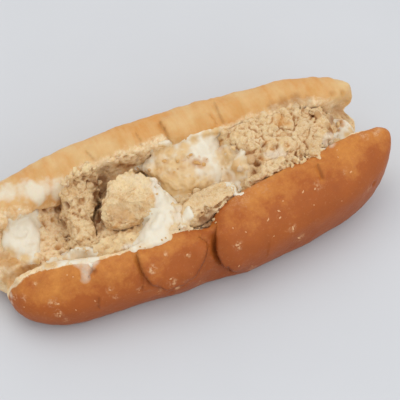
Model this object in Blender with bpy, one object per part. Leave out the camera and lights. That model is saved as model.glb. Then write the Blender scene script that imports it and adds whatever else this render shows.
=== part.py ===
"""Halva sandwich: a long soft roll cut open along its side and filled with halva and thick cream.

Run with: blender --background --python part.py
Metres, +Z up. The roll lies on its uncut side along X with the opening upwards. The browner half is at -Y.
The origin is the centre of the bounding box, on the surface that the roll stands on.
"""

import math

import bmesh
import bpy
import numpy as np
from mathutils import Vector, noise

MM = 0.001

# Driving dimensions of the roll
HALF_LENGTH = 100 * MM       # from the middle to a tip
NEAR_REACH = 40.5 * MM       # from the hinge to the outside of the brown half
FAR_REACH = 45.5 * MM        # from the hinge to the outside of the pale half
NEAR_HEIGHT = 42 * MM        # the brown half's cut edge at its highest
FAR_HEIGHT = 43 * MM         # the pale half's cut edge at its highest
FAR_CROWN = 4 * MM           # how far the pale half rolls over above its cut edge
WALL = 9 * MM                # bread left beside the filling
FLOOR = 11 * MM              # bread left under the filling
END_FLOOR = 19 * MM          # the same at the left end, where less was cut away
END_PLACES = (-0.66, -0.46)  # between these places, from -1 to 1, the one turns into the other
WALL_STEP = 2.5 * MM         # the wall's foot lies at least this far above the floor beside it
HINGE = 6 * MM               # each half reaches this far past the hinge line, into the other
SINK = 1.5 * MM              # the loaf is made this much too deep, then cut flat where it rests

# Each half along the roll: place from -1 to 1, then the cut edge's Y, the cut edge's Z and the outermost Y,
# as shares of the half's reach, height and reach
NEAR_STATIONS = (
    (-0.84, 0.25, 0.69, 0.78),
    (-0.57, 0.52, 0.79, 0.85),
    (-0.14, 0.60, 0.81, 0.94),
    (-0.02, 0.61, 0.77, 0.98),
    (0.05, 0.53, 0.91, 1.00),
    (0.12, 0.50, 0.95, 0.99),
    (0.35, 0.44, 1.00, 0.95),
    (0.74, 0.30, 1.00, 0.77),
    (0.98, 0.20, 0.98, 0.63),
)
FAR_STATIONS = (
    (-0.84, 0.37, 0.86, 0.95),
    (-0.57, 0.48, 0.93, 0.99),
    (-0.14, 0.49, 0.98, 1.00),
    (0.20, 0.40, 0.99, 0.96),
    (0.57, 0.32, 1.00, 0.88),
    (0.95, 0.26, 0.95, 0.75),
)

# Where each half ends: X, then Y and Z of the tip, how long the end is and how blunt
NEAR_ENDS = ((-99 * MM, -9 * MM, 13 * MM, 30 * MM, 2.2), (98 * MM, -12 * MM, 37 * MM, 34 * MM, 2.3))
FAR_ENDS = ((-105 * MM, 15 * MM, 21 * MM, 31 * MM, 2.6), (94 * MM, 20 * MM, 38 * MM, 36 * MM, 2.1))

# The squeezed spot of the brown half: a sunken triangle, its apex at the cut edge, beside a swollen fold
PINCH_APEX = (-6 * MM, 33 * MM)
PINCH_SPREAD = 0.45          # half width gained for each unit down
PINCH_DEPTH = 3.2 * MM
PINCH_FOOT = 10 * MM         # below this height the triangle comes out to the surface again
FOLD_MIDDLE = (-26 * MM, 17 * MM)
FOLD_RADIUS = 13 * MM
FOLD_SWELL = 1.4 * MM

# Fineness of the meshes
STATIONS = 46
RING_POINTS = 20
MOUND_POINTS = 18
MOUND_LAYERS = 6

CRUST_WAVE = (0.7 * MM, 24 * MM)   # height and length of the crust's unevenness
GAP = 0.3 * MM                     # clear space between neighbouring pieces
SHARPEST = 2.5                     # a sharp corner moves out by at most this many gaps


def new_collection(name):
    collection = bpy.data.collections.new(name)
    bpy.context.scene.collection.children.link(collection)
    return collection


def new_material(name, colour, roughness):
    """A plain Principled material; the colour is linear."""
    material = bpy.data.materials.new(name)
    material.use_nodes = True
    shader = material.node_tree.nodes["Principled BSDF"]
    shader.inputs["Base Color"].default_value = (*colour, 1)
    shader.inputs["Roughness"].default_value = roughness
    return material


def smooth(stations, column, place):
    """A cubic through one column of the stations, held level beyond the first and the last."""
    table = np.array(stations)
    places = table[:, 0]
    values = table[:, column]
    slopes = np.gradient(values, places)
    place = min(max(place, places[0]), places[-1])
    after = min(max(int(np.searchsorted(places, place)), 1), len(places) - 1)
    before = after - 1
    step = places[after] - places[before]
    t = (place - places[before]) / step
    rise = t * t * (3 - 2 * t)
    leave = t * (1 - t) ** 2 * step * slopes[before]
    arrive = t * t * (t - 1) * step * slopes[after]
    return values[before] + rise * (values[after] - values[before]) + leave + arrive


def closed_curve(corners, count):
    """Points evenly spread along the closed smooth curve that passes through the corners."""
    corners = np.array(corners)
    total = len(corners)
    points = []
    for along in np.linspace(0, total, count, endpoint=False):
        first = int(along)
        t = along - first
        a, b, c, d = (corners[(first + step) % total] for step in (-1, 0, 1, 2))
        points.append(b + 0.5 * t * (c - a + t * (2 * a - 5 * b + 4 * c - d + t * (3 * (b - c) + d - a))))
    return np.array(points)


def floor_height(place):
    """How much bread lies under the filling."""
    return float(np.interp(place, END_PLACES, (END_FLOOR, FLOOR)))


def near_section(place):
    """The brown half's outline across the roll: a sharp cut edge, a round outside and a hollow inside."""
    floor = floor_height(place)
    edge_y = -smooth(NEAR_STATIONS, 1, place) * NEAR_REACH
    edge_z = smooth(NEAR_STATIONS, 2, place) * NEAR_HEIGHT
    side_y = -smooth(NEAR_STATIONS, 3, place) * NEAR_REACH
    return (
        (edge_y, edge_z),
        (edge_y + 0.55 * (side_y - edge_y), 0.90 * edge_z),
        (0.985 * side_y, 0.62 * edge_z),
        (side_y, 0.36 * edge_z),
        (0.93 * side_y, 0.12 * edge_z),
        (0.60 * side_y, -SINK),
        (HINGE, -SINK),
        (HINGE, floor),
        (-0.8 * HINGE, floor),
        (min(edge_y + WALL, -HINGE), max(0.52 * edge_z, floor + WALL_STEP)),
        (edge_y + 0.45 * WALL, 0.92 * edge_z),
    )


def far_section(place):
    """The pale half's outline: it rolls over above the cut edge, and its crumb slopes down from there."""
    floor = floor_height(place)
    edge_y = smooth(FAR_STATIONS, 1, place) * FAR_REACH
    edge_z = smooth(FAR_STATIONS, 2, place) * FAR_HEIGHT
    side_y = smooth(FAR_STATIONS, 3, place) * FAR_REACH
    return (
        (edge_y, edge_z),
        (edge_y + 0.38 * (side_y - edge_y), edge_z + FAR_CROWN),
        (edge_y + 0.78 * (side_y - edge_y), edge_z + 0.4 * FAR_CROWN),
        (0.985 * side_y, 0.72 * edge_z),
        (side_y, 0.42 * edge_z),
        (0.90 * side_y, 0.12 * edge_z),
        (0.60 * side_y, -SINK),
        (-HINGE, -SINK),
        (-HINGE, floor),
        (HINGE, floor),
        (edge_y - 0.1 * WALL, max(0.46 * edge_z, floor + WALL_STEP)),
        (edge_y + 0.2 * WALL, 0.80 * edge_z),
    )


def rounding(distance, length, bluntness):
    """0 at a tip, growing to 1 at the inner end of the tapered stretch."""
    share = min(max(distance / length, 0), 1)
    return (1 - (1 - share) ** bluntness) ** (1 / bluntness)


def half_of_roll(name, section, ends, collection):
    """Loft one half: its section shrinks towards a tip at each end."""
    left, right = ends
    middle = (left[0] + right[0]) / 2
    half = (right[0] - left[0]) / 2
    rings = []
    for turn in np.linspace(0, math.pi, STATIONS + 2)[1:-1]:
        x = middle - half * math.cos(turn)
        size = rounding(x - left[0], *left[3:]) * rounding(right[0] - x, *right[3:])
        share = (x - left[0]) / (2 * half)
        tip = (1 - share) * np.array(left[1:3]) + share * np.array(right[1:3])
        outline = tip + size * (closed_curve(section(x / HALF_LENGTH), RING_POINTS) - tip)
        rings.append([(x, y, z) for y, z in outline])
    return loft(name, rings, left[:3], right[:3], collection)


def loft(name, rings, first_tip, last_tip, collection):
    """A closed skin through equal rings, drawn together to a tip beyond the first and the last."""
    mesh = bmesh.new()
    loops = [[mesh.verts.new(point) for point in ring] for ring in rings]
    count = len(loops[0])
    for loop, following in zip(loops[:-1], loops[1:]):
        for i in range(count):
            j = (i + 1) % count
            mesh.faces.new((loop[i], loop[j], following[j], following[i]))
    for loop, tip in ((loops[0], first_tip), (loops[-1], last_tip)):
        apex = mesh.verts.new(tip)
        for i in range(count):
            mesh.faces.new((loop[i], loop[(i + 1) % count], apex))
    bmesh.ops.recalc_face_normals(mesh, faces=mesh.faces)
    return new_object(name, mesh, collection)


def new_object(name, mesh, collection):
    data = bpy.data.meshes.new(name)
    mesh.to_mesh(data)
    mesh.free()
    thing = bpy.data.objects.new(name, data)
    collection.objects.link(thing)
    return thing


def roughen(thing, height, length, seed):
    """Move each corner along its normal by smooth noise."""
    offset = Vector((seed, 0, 0))
    for vertex in thing.data.vertices:
        wave = noise.noise(vertex.co / length + offset)
        vertex.co += vertex.normal * (height * wave)


def pinch(near):
    """Sink the squeezed triangle into the brown crust, and swell the fold on its left."""
    for vertex in near.data.vertices:
        x, y, z = vertex.co
        if y > -0.4 * NEAR_REACH:
            continue
        half_width = PINCH_SPREAD * max(PINCH_APEX[1] - z, 0) + 2 * MM
        sunk = max(1 - ((x - PINCH_APEX[0]) / half_width) ** 2, 0) * min(z / PINCH_FOOT, 1)
        away = math.dist((x, z), FOLD_MIDDLE) / FOLD_RADIUS
        vertex.co -= vertex.normal * (PINCH_DEPTH * sunk - FOLD_SWELL * math.exp(-away * away))


def mound(name, outline, low, top, slope, collection, bump, seed, roundness=0.5):
    """A rough heap over a plan outline in mm, from the height low to the height top over its middle.

    slope gives how its top climbs along X and along Y, and bump the height and length of its lumps in mm.
    """
    plan = closed_curve(outline, MOUND_POINTS) * MM
    middle = plan.mean(axis=0)
    rings = []
    for turn in np.linspace(-0.5, 0.5, MOUND_LAYERS + 2)[1:-1] * math.pi:
        spread = math.cos(turn) ** roundness
        rise = 0.5 + 0.5 * math.sin(turn)
        ring = []
        for x, y in middle + spread * (plan - middle):
            climb = (x - middle[0]) * slope[0] + (y - middle[1]) * slope[1]
            ring.append((x, y, low * MM + rise * ((top - low) * MM + climb)))
        rings.append(ring)
    thing = loft(name, rings, (*middle, low * MM), (*middle, top * MM), collection)
    roughen(thing, bump[0] * MM, bump[1] * MM, seed)
    return thing


def settle(thing):
    """Make what the modifiers show the object's own mesh, without slivers and loose flakes."""
    evaluated = thing.evaluated_get(bpy.context.evaluated_depsgraph_get())
    thing.data = bpy.data.meshes.new_from_object(evaluated)
    thing.modifiers.clear()
    mesh = bmesh.new()
    mesh.from_mesh(thing.data)
    bmesh.ops.remove_doubles(mesh, verts=mesh.verts, dist=0.03 * MM)
    bmesh.ops.dissolve_degenerate(mesh, edges=mesh.edges, dist=0.02 * MM)
    bmesh.ops.triangulate(mesh, faces=mesh.faces)
    keep_largest(mesh)
    bmesh.ops.recalc_face_normals(mesh, faces=mesh.faces)
    mesh.to_mesh(thing.data)
    mesh.free()


def keep_largest(mesh):
    """Delete every connected piece but the one with the most corners."""
    left = set(mesh.verts)
    pieces = []
    while left:
        piece = set()
        front = [left.pop()]
        while front:
            vertex = front.pop()
            piece.add(vertex)
            for edge in vertex.link_edges:
                other = edge.other_vert(vertex)
                if other in left:
                    left.remove(other)
                    front.append(other)
        pieces.append(piece)
    pieces.sort(key=len)
    for piece in pieces[:-1]:
        bmesh.ops.delete(mesh, geom=list(piece), context="VERTS")


def boolean(thing, other, operation):
    modifier = thing.modifiers.new(operation.title(), "BOOLEAN")
    modifier.operation = operation
    modifier.solver = "EXACT"
    modifier.object = other


def as_cutter(thing):
    thing.hide_render = True
    thing.display_type = "WIRE"
    return thing


def grown(thing, cutters):
    """A copy of the object, larger by the gap on every side, to cut its neighbours with."""
    mesh = bmesh.new()
    mesh.from_mesh(thing.data)
    mesh.normal_update()
    moves = [vertex.normal * GAP * min(vertex.calc_shell_factor(), SHARPEST) for vertex in mesh.verts]
    for vertex, move in zip(mesh.verts, moves):
        vertex.co += move
    return as_cutter(new_object(thing.name + "_space", mesh, cutters))


def floor_block(cutters):
    """A block whose top is the surface that the roll stands on."""
    size = 4 * HALF_LENGTH
    bpy.ops.mesh.primitive_cube_add(size=size, location=(0, 0, -size / 2))
    block = bpy.context.object
    block.name = "floor_block"
    block.users_collection[0].objects.unlink(block)
    cutters.objects.link(block)
    return as_cutter(block)


def build_bread(parts, cutters):
    """The two halves joined along the hinge, and cut flat where the roll rests."""
    bread = half_of_roll("bread", near_section, NEAR_ENDS, parts)
    roughen(bread, *CRUST_WAVE, 3.7)
    pinch(bread)
    far = as_cutter(half_of_roll("far_half", far_section, FAR_ENDS, cutters))
    roughen(far, *CRUST_WAVE, 9.1)
    boolean(bread, far, "UNION")
    boolean(bread, floor_block(cutters), "DIFFERENCE")
    settle(bread)
    bread.data.materials.clear()
    bread.data.materials.append(new_material("crust", (0.42, 0.15, 0.04), 0.45))
    return bread


def halva_pieces(parts):
    """The broken pieces of halva that lie in the opening, the largest first."""
    chunk = (
        (-33, 14), (-27, 13), (-20, 7), (-16, -2), (-18, -8),
        (-27, -9), (-36, -9), (-44, -7), (-47, 0), (-42, 8),
    )
    slab = ((-15, -11), (0, -6), (12, -6), (17, -11), (14, -16), (3, -19), (-8, -21), (-16, -18))
    crumble = (
        (22, 20), (34, 26), (53, 28), (69, 25), (77, 12),
        (74, -4), (66, -14), (44, -19), (23, -20), (17, -4),
    )
    column = (
        (-58, 29), (-49, 33), (-40, 29), (-41, 19), (-49, 7),
        (-50, -6), (-57, -11), (-63, -5), (-61, 8),
    )
    return (
        mound("halva_chunk", chunk, 25, 45.5, (0.05, 0.1), parts, (1.6, 7.0), 1.3, 0.32),
        mound("halva_slab", slab, 27, 39, (0.1, 0.0), parts, (0.8, 6.0), 3.3, 0.35),
        mound("halva_crumble", crumble, 15, 43, (-0.02, 0.14), parts, (2.4, 7.0), 4.1, 0.4),
        mound("halva_column", column, 9, 33, (0.05, 0.45), parts, (1.6, 6.0), 5.3, 0.4),
    )


def cream_pieces(parts):
    """The thick cream beside the halva."""
    middle = ((-17, 6), (-12, 1), (-9, -12), (-12, -24), (-25, -27), (-38, -28), (-34, -13), (-19, -8))
    far = (
        (-17, 18), (-13, 26), (0, 30), (12, 29), (22, 20),
        (24, 8), (21, -3), (8, -6), (-8, -5), (-14, 4),
    )
    end = ((73, 12), (82, 13), (87, 8), (87, 0), (81, -8), (74, -8))
    left = ((-88, 27), (-80, 27), (-74, 20), (-76, 9), (-82, 3), (-89, 7), (-92, 16))
    return (
        mound("cream_middle", middle, 20, 37, (0.05, 0.1), parts, (1.0, 9.0), 6.7),
        mound("cream_far", far, 18, 37, (0.05, 0.42), parts, (1.2, 9.0), 7.9),
        mound("cream_end", end, 14, 31, (0.0, 0.1), parts, (0.8, 7.0), 8.3),
        mound("cream_left", left, 12, 28, (0.0, 0.3), parts, (0.8, 8.0), 9.7),
    )


def halva_bed(parts):
    """The crushed halva that runs along the fold of the roll, under and between the other pieces."""
    outline = (
        (-61, 4), (-52, 22), (-20, 30), (30, 28), (66, 22),
        (80, 4), (62, -18), (20, -22), (-25, -28), (-52, -22),
    )
    return mound("halva_bed", outline, 5, 30, (0.02, -0.2), parts, (1.6, 8.0), 12.4, 0.35)


def separate(pieces, bread, cutters):
    """Cut every piece by the bread and by the pieces before it, with the gap between them."""
    spaces = [grown(bread, cutters)]
    for piece in pieces:
        for space in spaces:
            boolean(piece, space, "DIFFERENCE")
        settle(piece)
        spaces.append(grown(piece, cutters))


def centre(things):
    """Move everything so that the origin is in the middle of the plan, on the resting surface."""
    corners = np.array([vertex.co for thing in things for vertex in thing.data.vertices])
    low, high = corners.min(axis=0), corners.max(axis=0)
    shift = Vector((-(low[0] + high[0]) / 2, -(low[1] + high[1]) / 2, -low[2]))
    for thing in things:
        thing.location = shift


def main():
    for thing in list(bpy.data.objects):
        bpy.data.objects.remove(thing, do_unlink=True)
    parts = new_collection("halva_sandwich")
    cutters = new_collection("cutters")
    bread = build_bread(parts, cutters)
    halva = halva_pieces(parts)
    cream = cream_pieces(parts)
    bed = halva_bed(parts)
    separate((*halva, *cream, bed), bread, cutters)
    halva_colour = new_material("halva", (0.62, 0.42, 0.24), 0.75)
    cream_colour = new_material("cream", (0.80, 0.68, 0.48), 0.35)
    for piece in (*halva, bed):
        piece.data.materials.append(halva_colour)
    for piece in cream:
        piece.data.materials.append(cream_colour)
    centre((bread, *halva, *cream, bed))


main()
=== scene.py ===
"""Looks of the halva sandwich: browned soft roll, torn crumb, broken halva and thick cream.

Every surface starts from its solid in the frame. Lumps, chips and strands are added to it, all is remeshed
finely, and the points then move along their normals by named features: folds, wrinkles, torn pores, grains.
Point attributes carry those features on to the materials. Places on the food are named by the pixel of the
photograph that shows them, and found by the line of sight through that pixel. Metres, +Z up, +X to the
roll's blunt end.
"""

import itertools
import math

import bmesh
import bpy
import numpy as np
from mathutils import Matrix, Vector
from mathutils.bvhtree import BVHTree


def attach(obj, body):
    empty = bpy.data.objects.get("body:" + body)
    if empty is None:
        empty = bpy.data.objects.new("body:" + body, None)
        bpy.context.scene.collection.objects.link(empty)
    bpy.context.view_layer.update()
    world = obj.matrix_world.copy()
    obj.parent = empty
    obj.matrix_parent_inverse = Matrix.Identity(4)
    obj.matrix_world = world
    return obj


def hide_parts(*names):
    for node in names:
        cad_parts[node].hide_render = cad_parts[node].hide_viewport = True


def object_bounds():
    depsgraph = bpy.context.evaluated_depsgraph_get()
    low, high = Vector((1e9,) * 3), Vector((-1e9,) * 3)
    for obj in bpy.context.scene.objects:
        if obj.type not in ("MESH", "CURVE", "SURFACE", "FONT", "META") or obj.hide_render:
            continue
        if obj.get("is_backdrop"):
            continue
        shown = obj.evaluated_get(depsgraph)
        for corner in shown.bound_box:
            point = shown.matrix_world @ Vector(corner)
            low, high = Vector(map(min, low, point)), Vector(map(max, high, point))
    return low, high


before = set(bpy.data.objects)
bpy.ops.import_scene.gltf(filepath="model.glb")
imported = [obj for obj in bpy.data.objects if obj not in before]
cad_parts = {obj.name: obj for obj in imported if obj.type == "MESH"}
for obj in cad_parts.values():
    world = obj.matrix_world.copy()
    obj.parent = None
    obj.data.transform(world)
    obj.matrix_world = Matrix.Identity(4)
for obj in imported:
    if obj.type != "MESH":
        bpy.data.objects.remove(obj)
CAD_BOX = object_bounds()
MM = 0.001

# The view: where the camera looks from, and the width of what it sees at the distance of the roll
PICTURE = 400
CAMERA_AZIMUTH = math.radians(-25)
CAMERA_ELEVATION = math.radians(52)
CAMERA_DISTANCE = 0.8
VIEW_WIDTH = 190.5 * MM
VIEW_CENTRE = Vector((6.5, -2.5, 20)) * MM
PIXEL = VIEW_WIDTH / PICTURE

# The light: a large soft one above and behind and one in front, each with its place, side, power and colour
KEY = ("key", (-0.14, 0.3, 1.0), 0.85, 2.05, (1.0, 0.99, 0.97))
FILL = ("fill", (0.35, -0.75, 0.7), 1.0, 2.6, (0.97, 0.98, 1.0))
SURROUND = (0.95, 0.97, 1.0, 1)
SURROUND_STRENGTH = 0.86
FLOOR_SIDE = 3


# ---------------------------------------------------------------- view and light

def camera_axes():
    """Unit vectors of the camera: to its right, up in its picture, and back towards it."""
    level = math.cos(CAMERA_ELEVATION)
    right = Vector((math.cos(CAMERA_AZIMUTH), math.sin(CAMERA_AZIMUTH), 0))
    back = Vector((right.y * level, -right.x * level, math.sin(CAMERA_ELEVATION)))
    return right, back.cross(right), back


def new_object(name, data):
    """An object that shows the data, linked to the scene."""
    made = bpy.data.objects.new(name, data)
    bpy.context.scene.collection.objects.link(made)
    return made


def add_camera():
    data = bpy.data.cameras.new("camera")
    camera = new_object("camera", data)
    back = camera_axes()[2]
    camera.location = VIEW_CENTRE + CAMERA_DISTANCE * back
    camera.rotation_euler = back.to_track_quat("Z", "Y").to_euler()
    data.lens = data.sensor_width * CAMERA_DISTANCE / VIEW_WIDTH
    data.clip_start = 10 * MM
    bpy.context.scene.camera = camera


def pixel_ray(pixel):
    """Start and direction of the line of sight through a pixel of the photograph."""
    right, up, back = camera_axes()
    across = (pixel[0] - PICTURE / 2) * PIXEL
    above = (PICTURE / 2 - pixel[1]) * PIXEL
    start = VIEW_CENTRE + CAMERA_DISTANCE * back
    return start, (right * across + up * above - back * CAMERA_DISTANCE).normalized()


def in_picture(points):
    """Across and down, the pixel of the photograph that each point falls on."""
    right, up, back = (np.array(axis) for axis in camera_axes())
    offset = points - np.array(VIEW_CENTRE)
    larger = CAMERA_DISTANCE / (CAMERA_DISTANCE - offset @ back) / PIXEL
    return PICTURE / 2 + offset @ right * larger, PICTURE / 2 - offset @ up * larger


def add_area_light(name, place, size, power, colour):
    data = bpy.data.lights.new(name, "AREA")
    data.size = size
    data.energy = power
    data.color = colour
    light = new_object(name, data)
    light.location = place
    light.rotation_euler = Vector(place).to_track_quat("Z", "Y").to_euler()


def add_studio():
    """A pale floor, two soft lights, and an even pale surround."""
    bpy.ops.mesh.primitive_plane_add(size=FLOOR_SIDE)
    floor = bpy.context.object
    floor.name = "floor"
    floor.data.materials.append(floor_material())
    floor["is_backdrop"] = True
    add_area_light(*KEY)
    add_area_light(*FILL)
    world = bpy.data.worlds.new("surround")
    world.use_nodes = True
    background = world.node_tree.nodes["Background"]
    background.inputs["Color"].default_value = SURROUND
    background.inputs["Strength"].default_value = SURROUND_STRENGTH
    bpy.context.scene.world = world
    bpy.context.scene.view_settings.view_transform = "Standard"


# ---------------------------------------------------------------- meshes as arrays

SCRAP_POINTS = 200           # a part of a piece with fewer points than this is a scrap
SAME_PLACE = 0.01 * MM       # points closer than this are one


def positions(mesh):
    flat = np.empty(len(mesh.vertices) * 3)
    mesh.vertices.foreach_get("co", flat)
    return flat.reshape(-1, 3)


def move_to(mesh, points):
    mesh.vertices.foreach_set("co", points.ravel())
    mesh.update()


def vertex_normals(mesh):
    flat = np.empty(len(mesh.vertices) * 3, np.float32)
    mesh.vertex_normals.foreach_get("vector", flat)
    return flat.reshape(-1, 3).astype(float)


def edge_ends(mesh):
    flat = np.empty(len(mesh.edges) * 2, np.int32)
    mesh.edges.foreach_get("vertices", flat)
    return flat.reshape(-1, 2)


def relaxed(values, ends, passes):
    """Point values after each has moved half way to its neighbours' mean, so many times."""
    values = values.reshape(len(values), -1)
    count = len(values)
    first, second = ends.T
    links = np.bincount(first, minlength=count) + np.bincount(second, minlength=count)
    for _ in range(passes):
        total = np.empty_like(values)
        for axis in range(values.shape[1]):
            column = values[:, axis]
            sums = np.bincount(first, column[second], count) + np.bincount(second, column[first], count)
            total[:, axis] = sums
        values = 0.5 * values + 0.5 * total / links[:, None]
    return values


def relax(piece, passes):
    move_to(piece.data, relaxed(positions(piece.data), edge_ends(piece.data), passes))


def push(piece, distances):
    """Move every point along its normal."""
    mesh = piece.data
    move_to(mesh, positions(mesh) + vertex_normals(mesh) * distances[:, None])


def hollows(mesh, passes):
    """How deep each point lies under its surroundings, in millimetres; below 0 it stands out of them."""
    points = positions(mesh)
    around = relaxed(points, edge_ends(mesh), passes)
    return np.einsum("ij,ij->i", around - points, vertex_normals(mesh)) / MM


def store(piece, name, values):
    attribute = piece.data.attributes.new(name, "FLOAT", "POINT")
    attribute.data.foreach_set("value", np.asarray(values, np.float32).ravel())


def new_piece(name, points, faces):
    mesh = bpy.data.meshes.new(name)
    mesh.from_pydata(points, [], faces)
    return new_object(name, mesh)


def taken_from(mesh):
    """Points and faces of a bmesh, which is then freed."""
    points = np.array([vertex.co for vertex in mesh.verts])
    faces = [[vertex.index for vertex in face.verts] for face in mesh.faces]
    mesh.free()
    return points, faces


def node_shell(node):
    """Points and faces of a node's solid, its doubled points merged."""
    mesh = bmesh.new()
    mesh.from_mesh(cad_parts[node].data)
    bmesh.ops.remove_doubles(mesh, verts=mesh.verts, dist=SAME_PLACE)
    return taken_from(mesh)


def ball(subdivisions):
    """Points and faces of a ball of radius 1."""
    mesh = bmesh.new()
    bmesh.ops.create_icosphere(mesh, subdivisions=subdivisions, radius=1)
    return taken_from(mesh)


def joined(shells):
    """Several shells of points and faces as one."""
    all_points = []
    all_faces = []
    count = 0
    for points, faces in shells:
        all_points.append(points)
        all_faces.extend([index + count for index in face] for face in faces)
        count += len(points)
    return np.concatenate(all_points), all_faces


def fused(name, shells, voxel, passes):
    """One evenly fine and relaxed piece with the outer surface of all the closed shells."""
    piece = new_piece(name, *joined(shells))
    modifier = piece.modifiers.new("Remesh", "REMESH")
    modifier.mode = "VOXEL"
    modifier.voxel_size = voxel
    mesh = bpy.data.meshes.new_from_object(piece.evaluated_get(bpy.context.evaluated_depsgraph_get()))
    piece.modifiers.clear()
    piece.data = mesh
    relax(piece, passes)
    return piece


def linked(mesh):
    """For each point, the lowest number among all the points that it hangs together with."""
    first, second = edge_ends(mesh).T
    lowest = np.arange(len(mesh.vertices))
    while True:
        lower = lowest.copy()
        np.minimum.at(lower, first, lowest[second])
        np.minimum.at(lower, second, lowest[first])
        lower = lower[lower]
        if (lower == lowest).all():
            return lowest
        lowest = lower


def drop_scraps(piece):
    """Delete the small loose parts that would hang in the air beside the piece."""
    part = linked(piece.data)
    scrap = np.bincount(part)[part] < SCRAP_POINTS
    mesh = bmesh.new()
    mesh.from_mesh(piece.data)
    bmesh.ops.delete(mesh, geom=[vertex for vertex in mesh.verts if scrap[vertex.index]], context="VERTS")
    mesh.to_mesh(piece.data)
    mesh.free()


def refine(piece, wanted):
    """Halve the edges between wanted points."""
    mesh = bmesh.new()
    mesh.from_mesh(piece.data)
    edges = [edge for edge in mesh.edges if all(wanted[vertex.index] for vertex in edge.verts)]
    bmesh.ops.subdivide_edges(mesh, edges=edges, cuts=1, use_grid_fill=True)
    mesh.to_mesh(piece.data)
    mesh.free()


def tree_of(shells):
    return BVHTree.FromPolygons(*[list(part) for part in joined(shells)])


def piece_tree(*pieces):
    mesh = bmesh.new()
    for piece in pieces:
        mesh.from_mesh(piece.data)
    tree = BVHTree.FromBMesh(mesh)
    mesh.free()
    return tree


def finish_piece(piece, nodes, material):
    """Give the piece its material, smooth shading and body, and hide the solids of the nodes that it stands
    for.
    """
    piece.data.materials.clear()
    piece.data.materials.append(material)
    piece.data.polygons.foreach_set("use_smooth", [True] * len(piece.data.polygons))
    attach(piece, "root")
    if nodes:
        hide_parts(*nodes)


# ---------------------------------------------------------------- noise

RANDOM = np.random.default_rng(41)
LATTICE = 256
SEED_SHIFT = 7.31            # noise moves on by this many lengths for each seed
WAVE_GAIN = 1.6              # brings smooth noise to about -1 to 1
BILLOW_MEAN = 0.3            # taken off, so that crumbs don't swell a piece
FLAKE_MEAN = 0.4             # the same for plates
CLEFT = 0.25                 # how wide the clefts between plates are, as a share of the plates' length
GRADIENTS = RANDOM.normal(size=(LATTICE, 3))
GRADIENTS /= np.linalg.norm(GRADIENTS, axis=1)[:, None]
SHUFFLE = RANDOM.permutation(LATTICE)
JITTER = RANDOM.random((LATTICE, 3))
CORNERS = tuple(itertools.product((0, 1), repeat=3))
NEIGHBOURS = tuple(itertools.product((-1, 0, 1), repeat=3))


def hashed(places):
    """A repeatable number from 0 to 255 for each cell of the lattice."""
    x, y, z = (places % LATTICE).T
    return SHUFFLE[(SHUFFLE[(SHUFFLE[x] + y) % LATTICE] + z) % LATTICE]


def wave(points, length, seed=0.0):
    """Smooth noise, about -1 to 1, that changes over the given length, which may differ by axis."""
    spot = points / length + seed * SEED_SHIFT
    cell = np.floor(spot).astype(int)
    part = spot - cell
    blend = part ** 3 * (part * (part * 6 - 15) + 10)
    total = np.zeros(len(points))
    for corner in CORNERS:
        step = np.array(corner)
        weight = np.prod(np.where(step, blend, 1 - blend), axis=1)
        slope = GRADIENTS[hashed(cell + step)]
        total += weight * np.einsum("ij,ij->i", slope, part - step)
    return WAVE_GAIN * total


def waves(points, parts):
    """Sum of smooth noises, each given as length in mm, which may differ by axis, strength and seed."""
    return sum(strength * wave(points, np.array(length) * MM, seed) for length, strength, seed in parts)


def cells(points, length, seed=0.0):
    """Each point's distance to the nearest of scattered seeds and to the next, as shares of the length, and
    a random level of the nearest.
    """
    spot = points / length + seed * SEED_SHIFT
    cell = np.floor(spot).astype(int)
    first = np.full(len(points), np.inf)
    second = np.full(len(points), np.inf)
    level = np.zeros(len(points))
    for step in NEIGHBOURS:
        number = hashed(cell + np.array(step))
        away = np.linalg.norm(spot - cell - np.array(step) - JITTER[number], axis=1)
        closer = away < first
        second = np.where(closer, first, np.minimum(second, away))
        first = np.where(closer, away, first)
        level = np.where(closer, number / LATTICE, level)
    return first, second, level


def warped(points, length, amount, seed):
    """The points moved about by smooth noise, for shapes without straight or round outlines."""
    return points + amount * np.array([wave(points, length, seed + axis) for axis in (1, 2, 3)]).T


def billows(points, sizes, seed):
    """Rounded crumbs with narrow valleys, in metres; sizes are pairs of length and height in mm."""
    total = np.zeros(len(points))
    for length, height in sizes:
        total += height * MM * (np.abs(wave(points, length * MM, seed + length)) - BILLOW_MEAN)
    return total


def flakes(points, sizes, seed):
    """Broken plates at different levels, in metres; sizes are pairs of length and height in mm."""
    total = np.zeros(len(points))
    for length, height in sizes:
        around = warped(points, 0.8 * length * MM, 0.3 * length * MM, seed + length)
        first, second, level = cells(around, length * MM, seed + length)
        total += height * MM * (level * (0.5 + 0.5 * ramp(second - first, 0.0, CLEFT)) - FLAKE_MEAN)
    return total


def pores(points, length, share, seed):
    """1 in scattered pits of uneven size, 0 between them; share is how many of the places have one."""
    first, _, level = cells(points, length, seed)
    return ramp(first, 0.5, 0.2) * (level < share)


def ramp(values, low, high):
    """0 at low, 1 at high, smooth between, and level beyond. low may be above high."""
    share = np.clip((values - low) / (high - low), 0, 1)
    return share * share * (3 - 2 * share)


# ---------------------------------------------------------------- places in the photograph

RAGGED_LENGTH = 2.2 * MM     # the edges of swells and patches are uneven over this length
FACING = 0.1                 # what faces the camera more than this can be painted


def sight(tree, pixel):
    """The point and the normal where the line of sight through a pixel first meets a surface."""
    point, normal = tree.ray_cast(*pixel_ray(pixel))[:2]
    return point, normal


def line_points(tree, pixels, step=1.0):
    """Closely spaced points of a surface under a line through the pixels."""
    points = []
    for start, end in zip(pixels[:-1], pixels[1:]):
        steps = max(int(math.dist(start, end) / step), 1)
        for i in range(steps):
            share = i / steps
            spot = sight(tree, [a + share * (b - a) for a, b in zip(start, end)])[0]
            if spot is not None:
                points.append(spot)
    return np.array(points)


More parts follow.
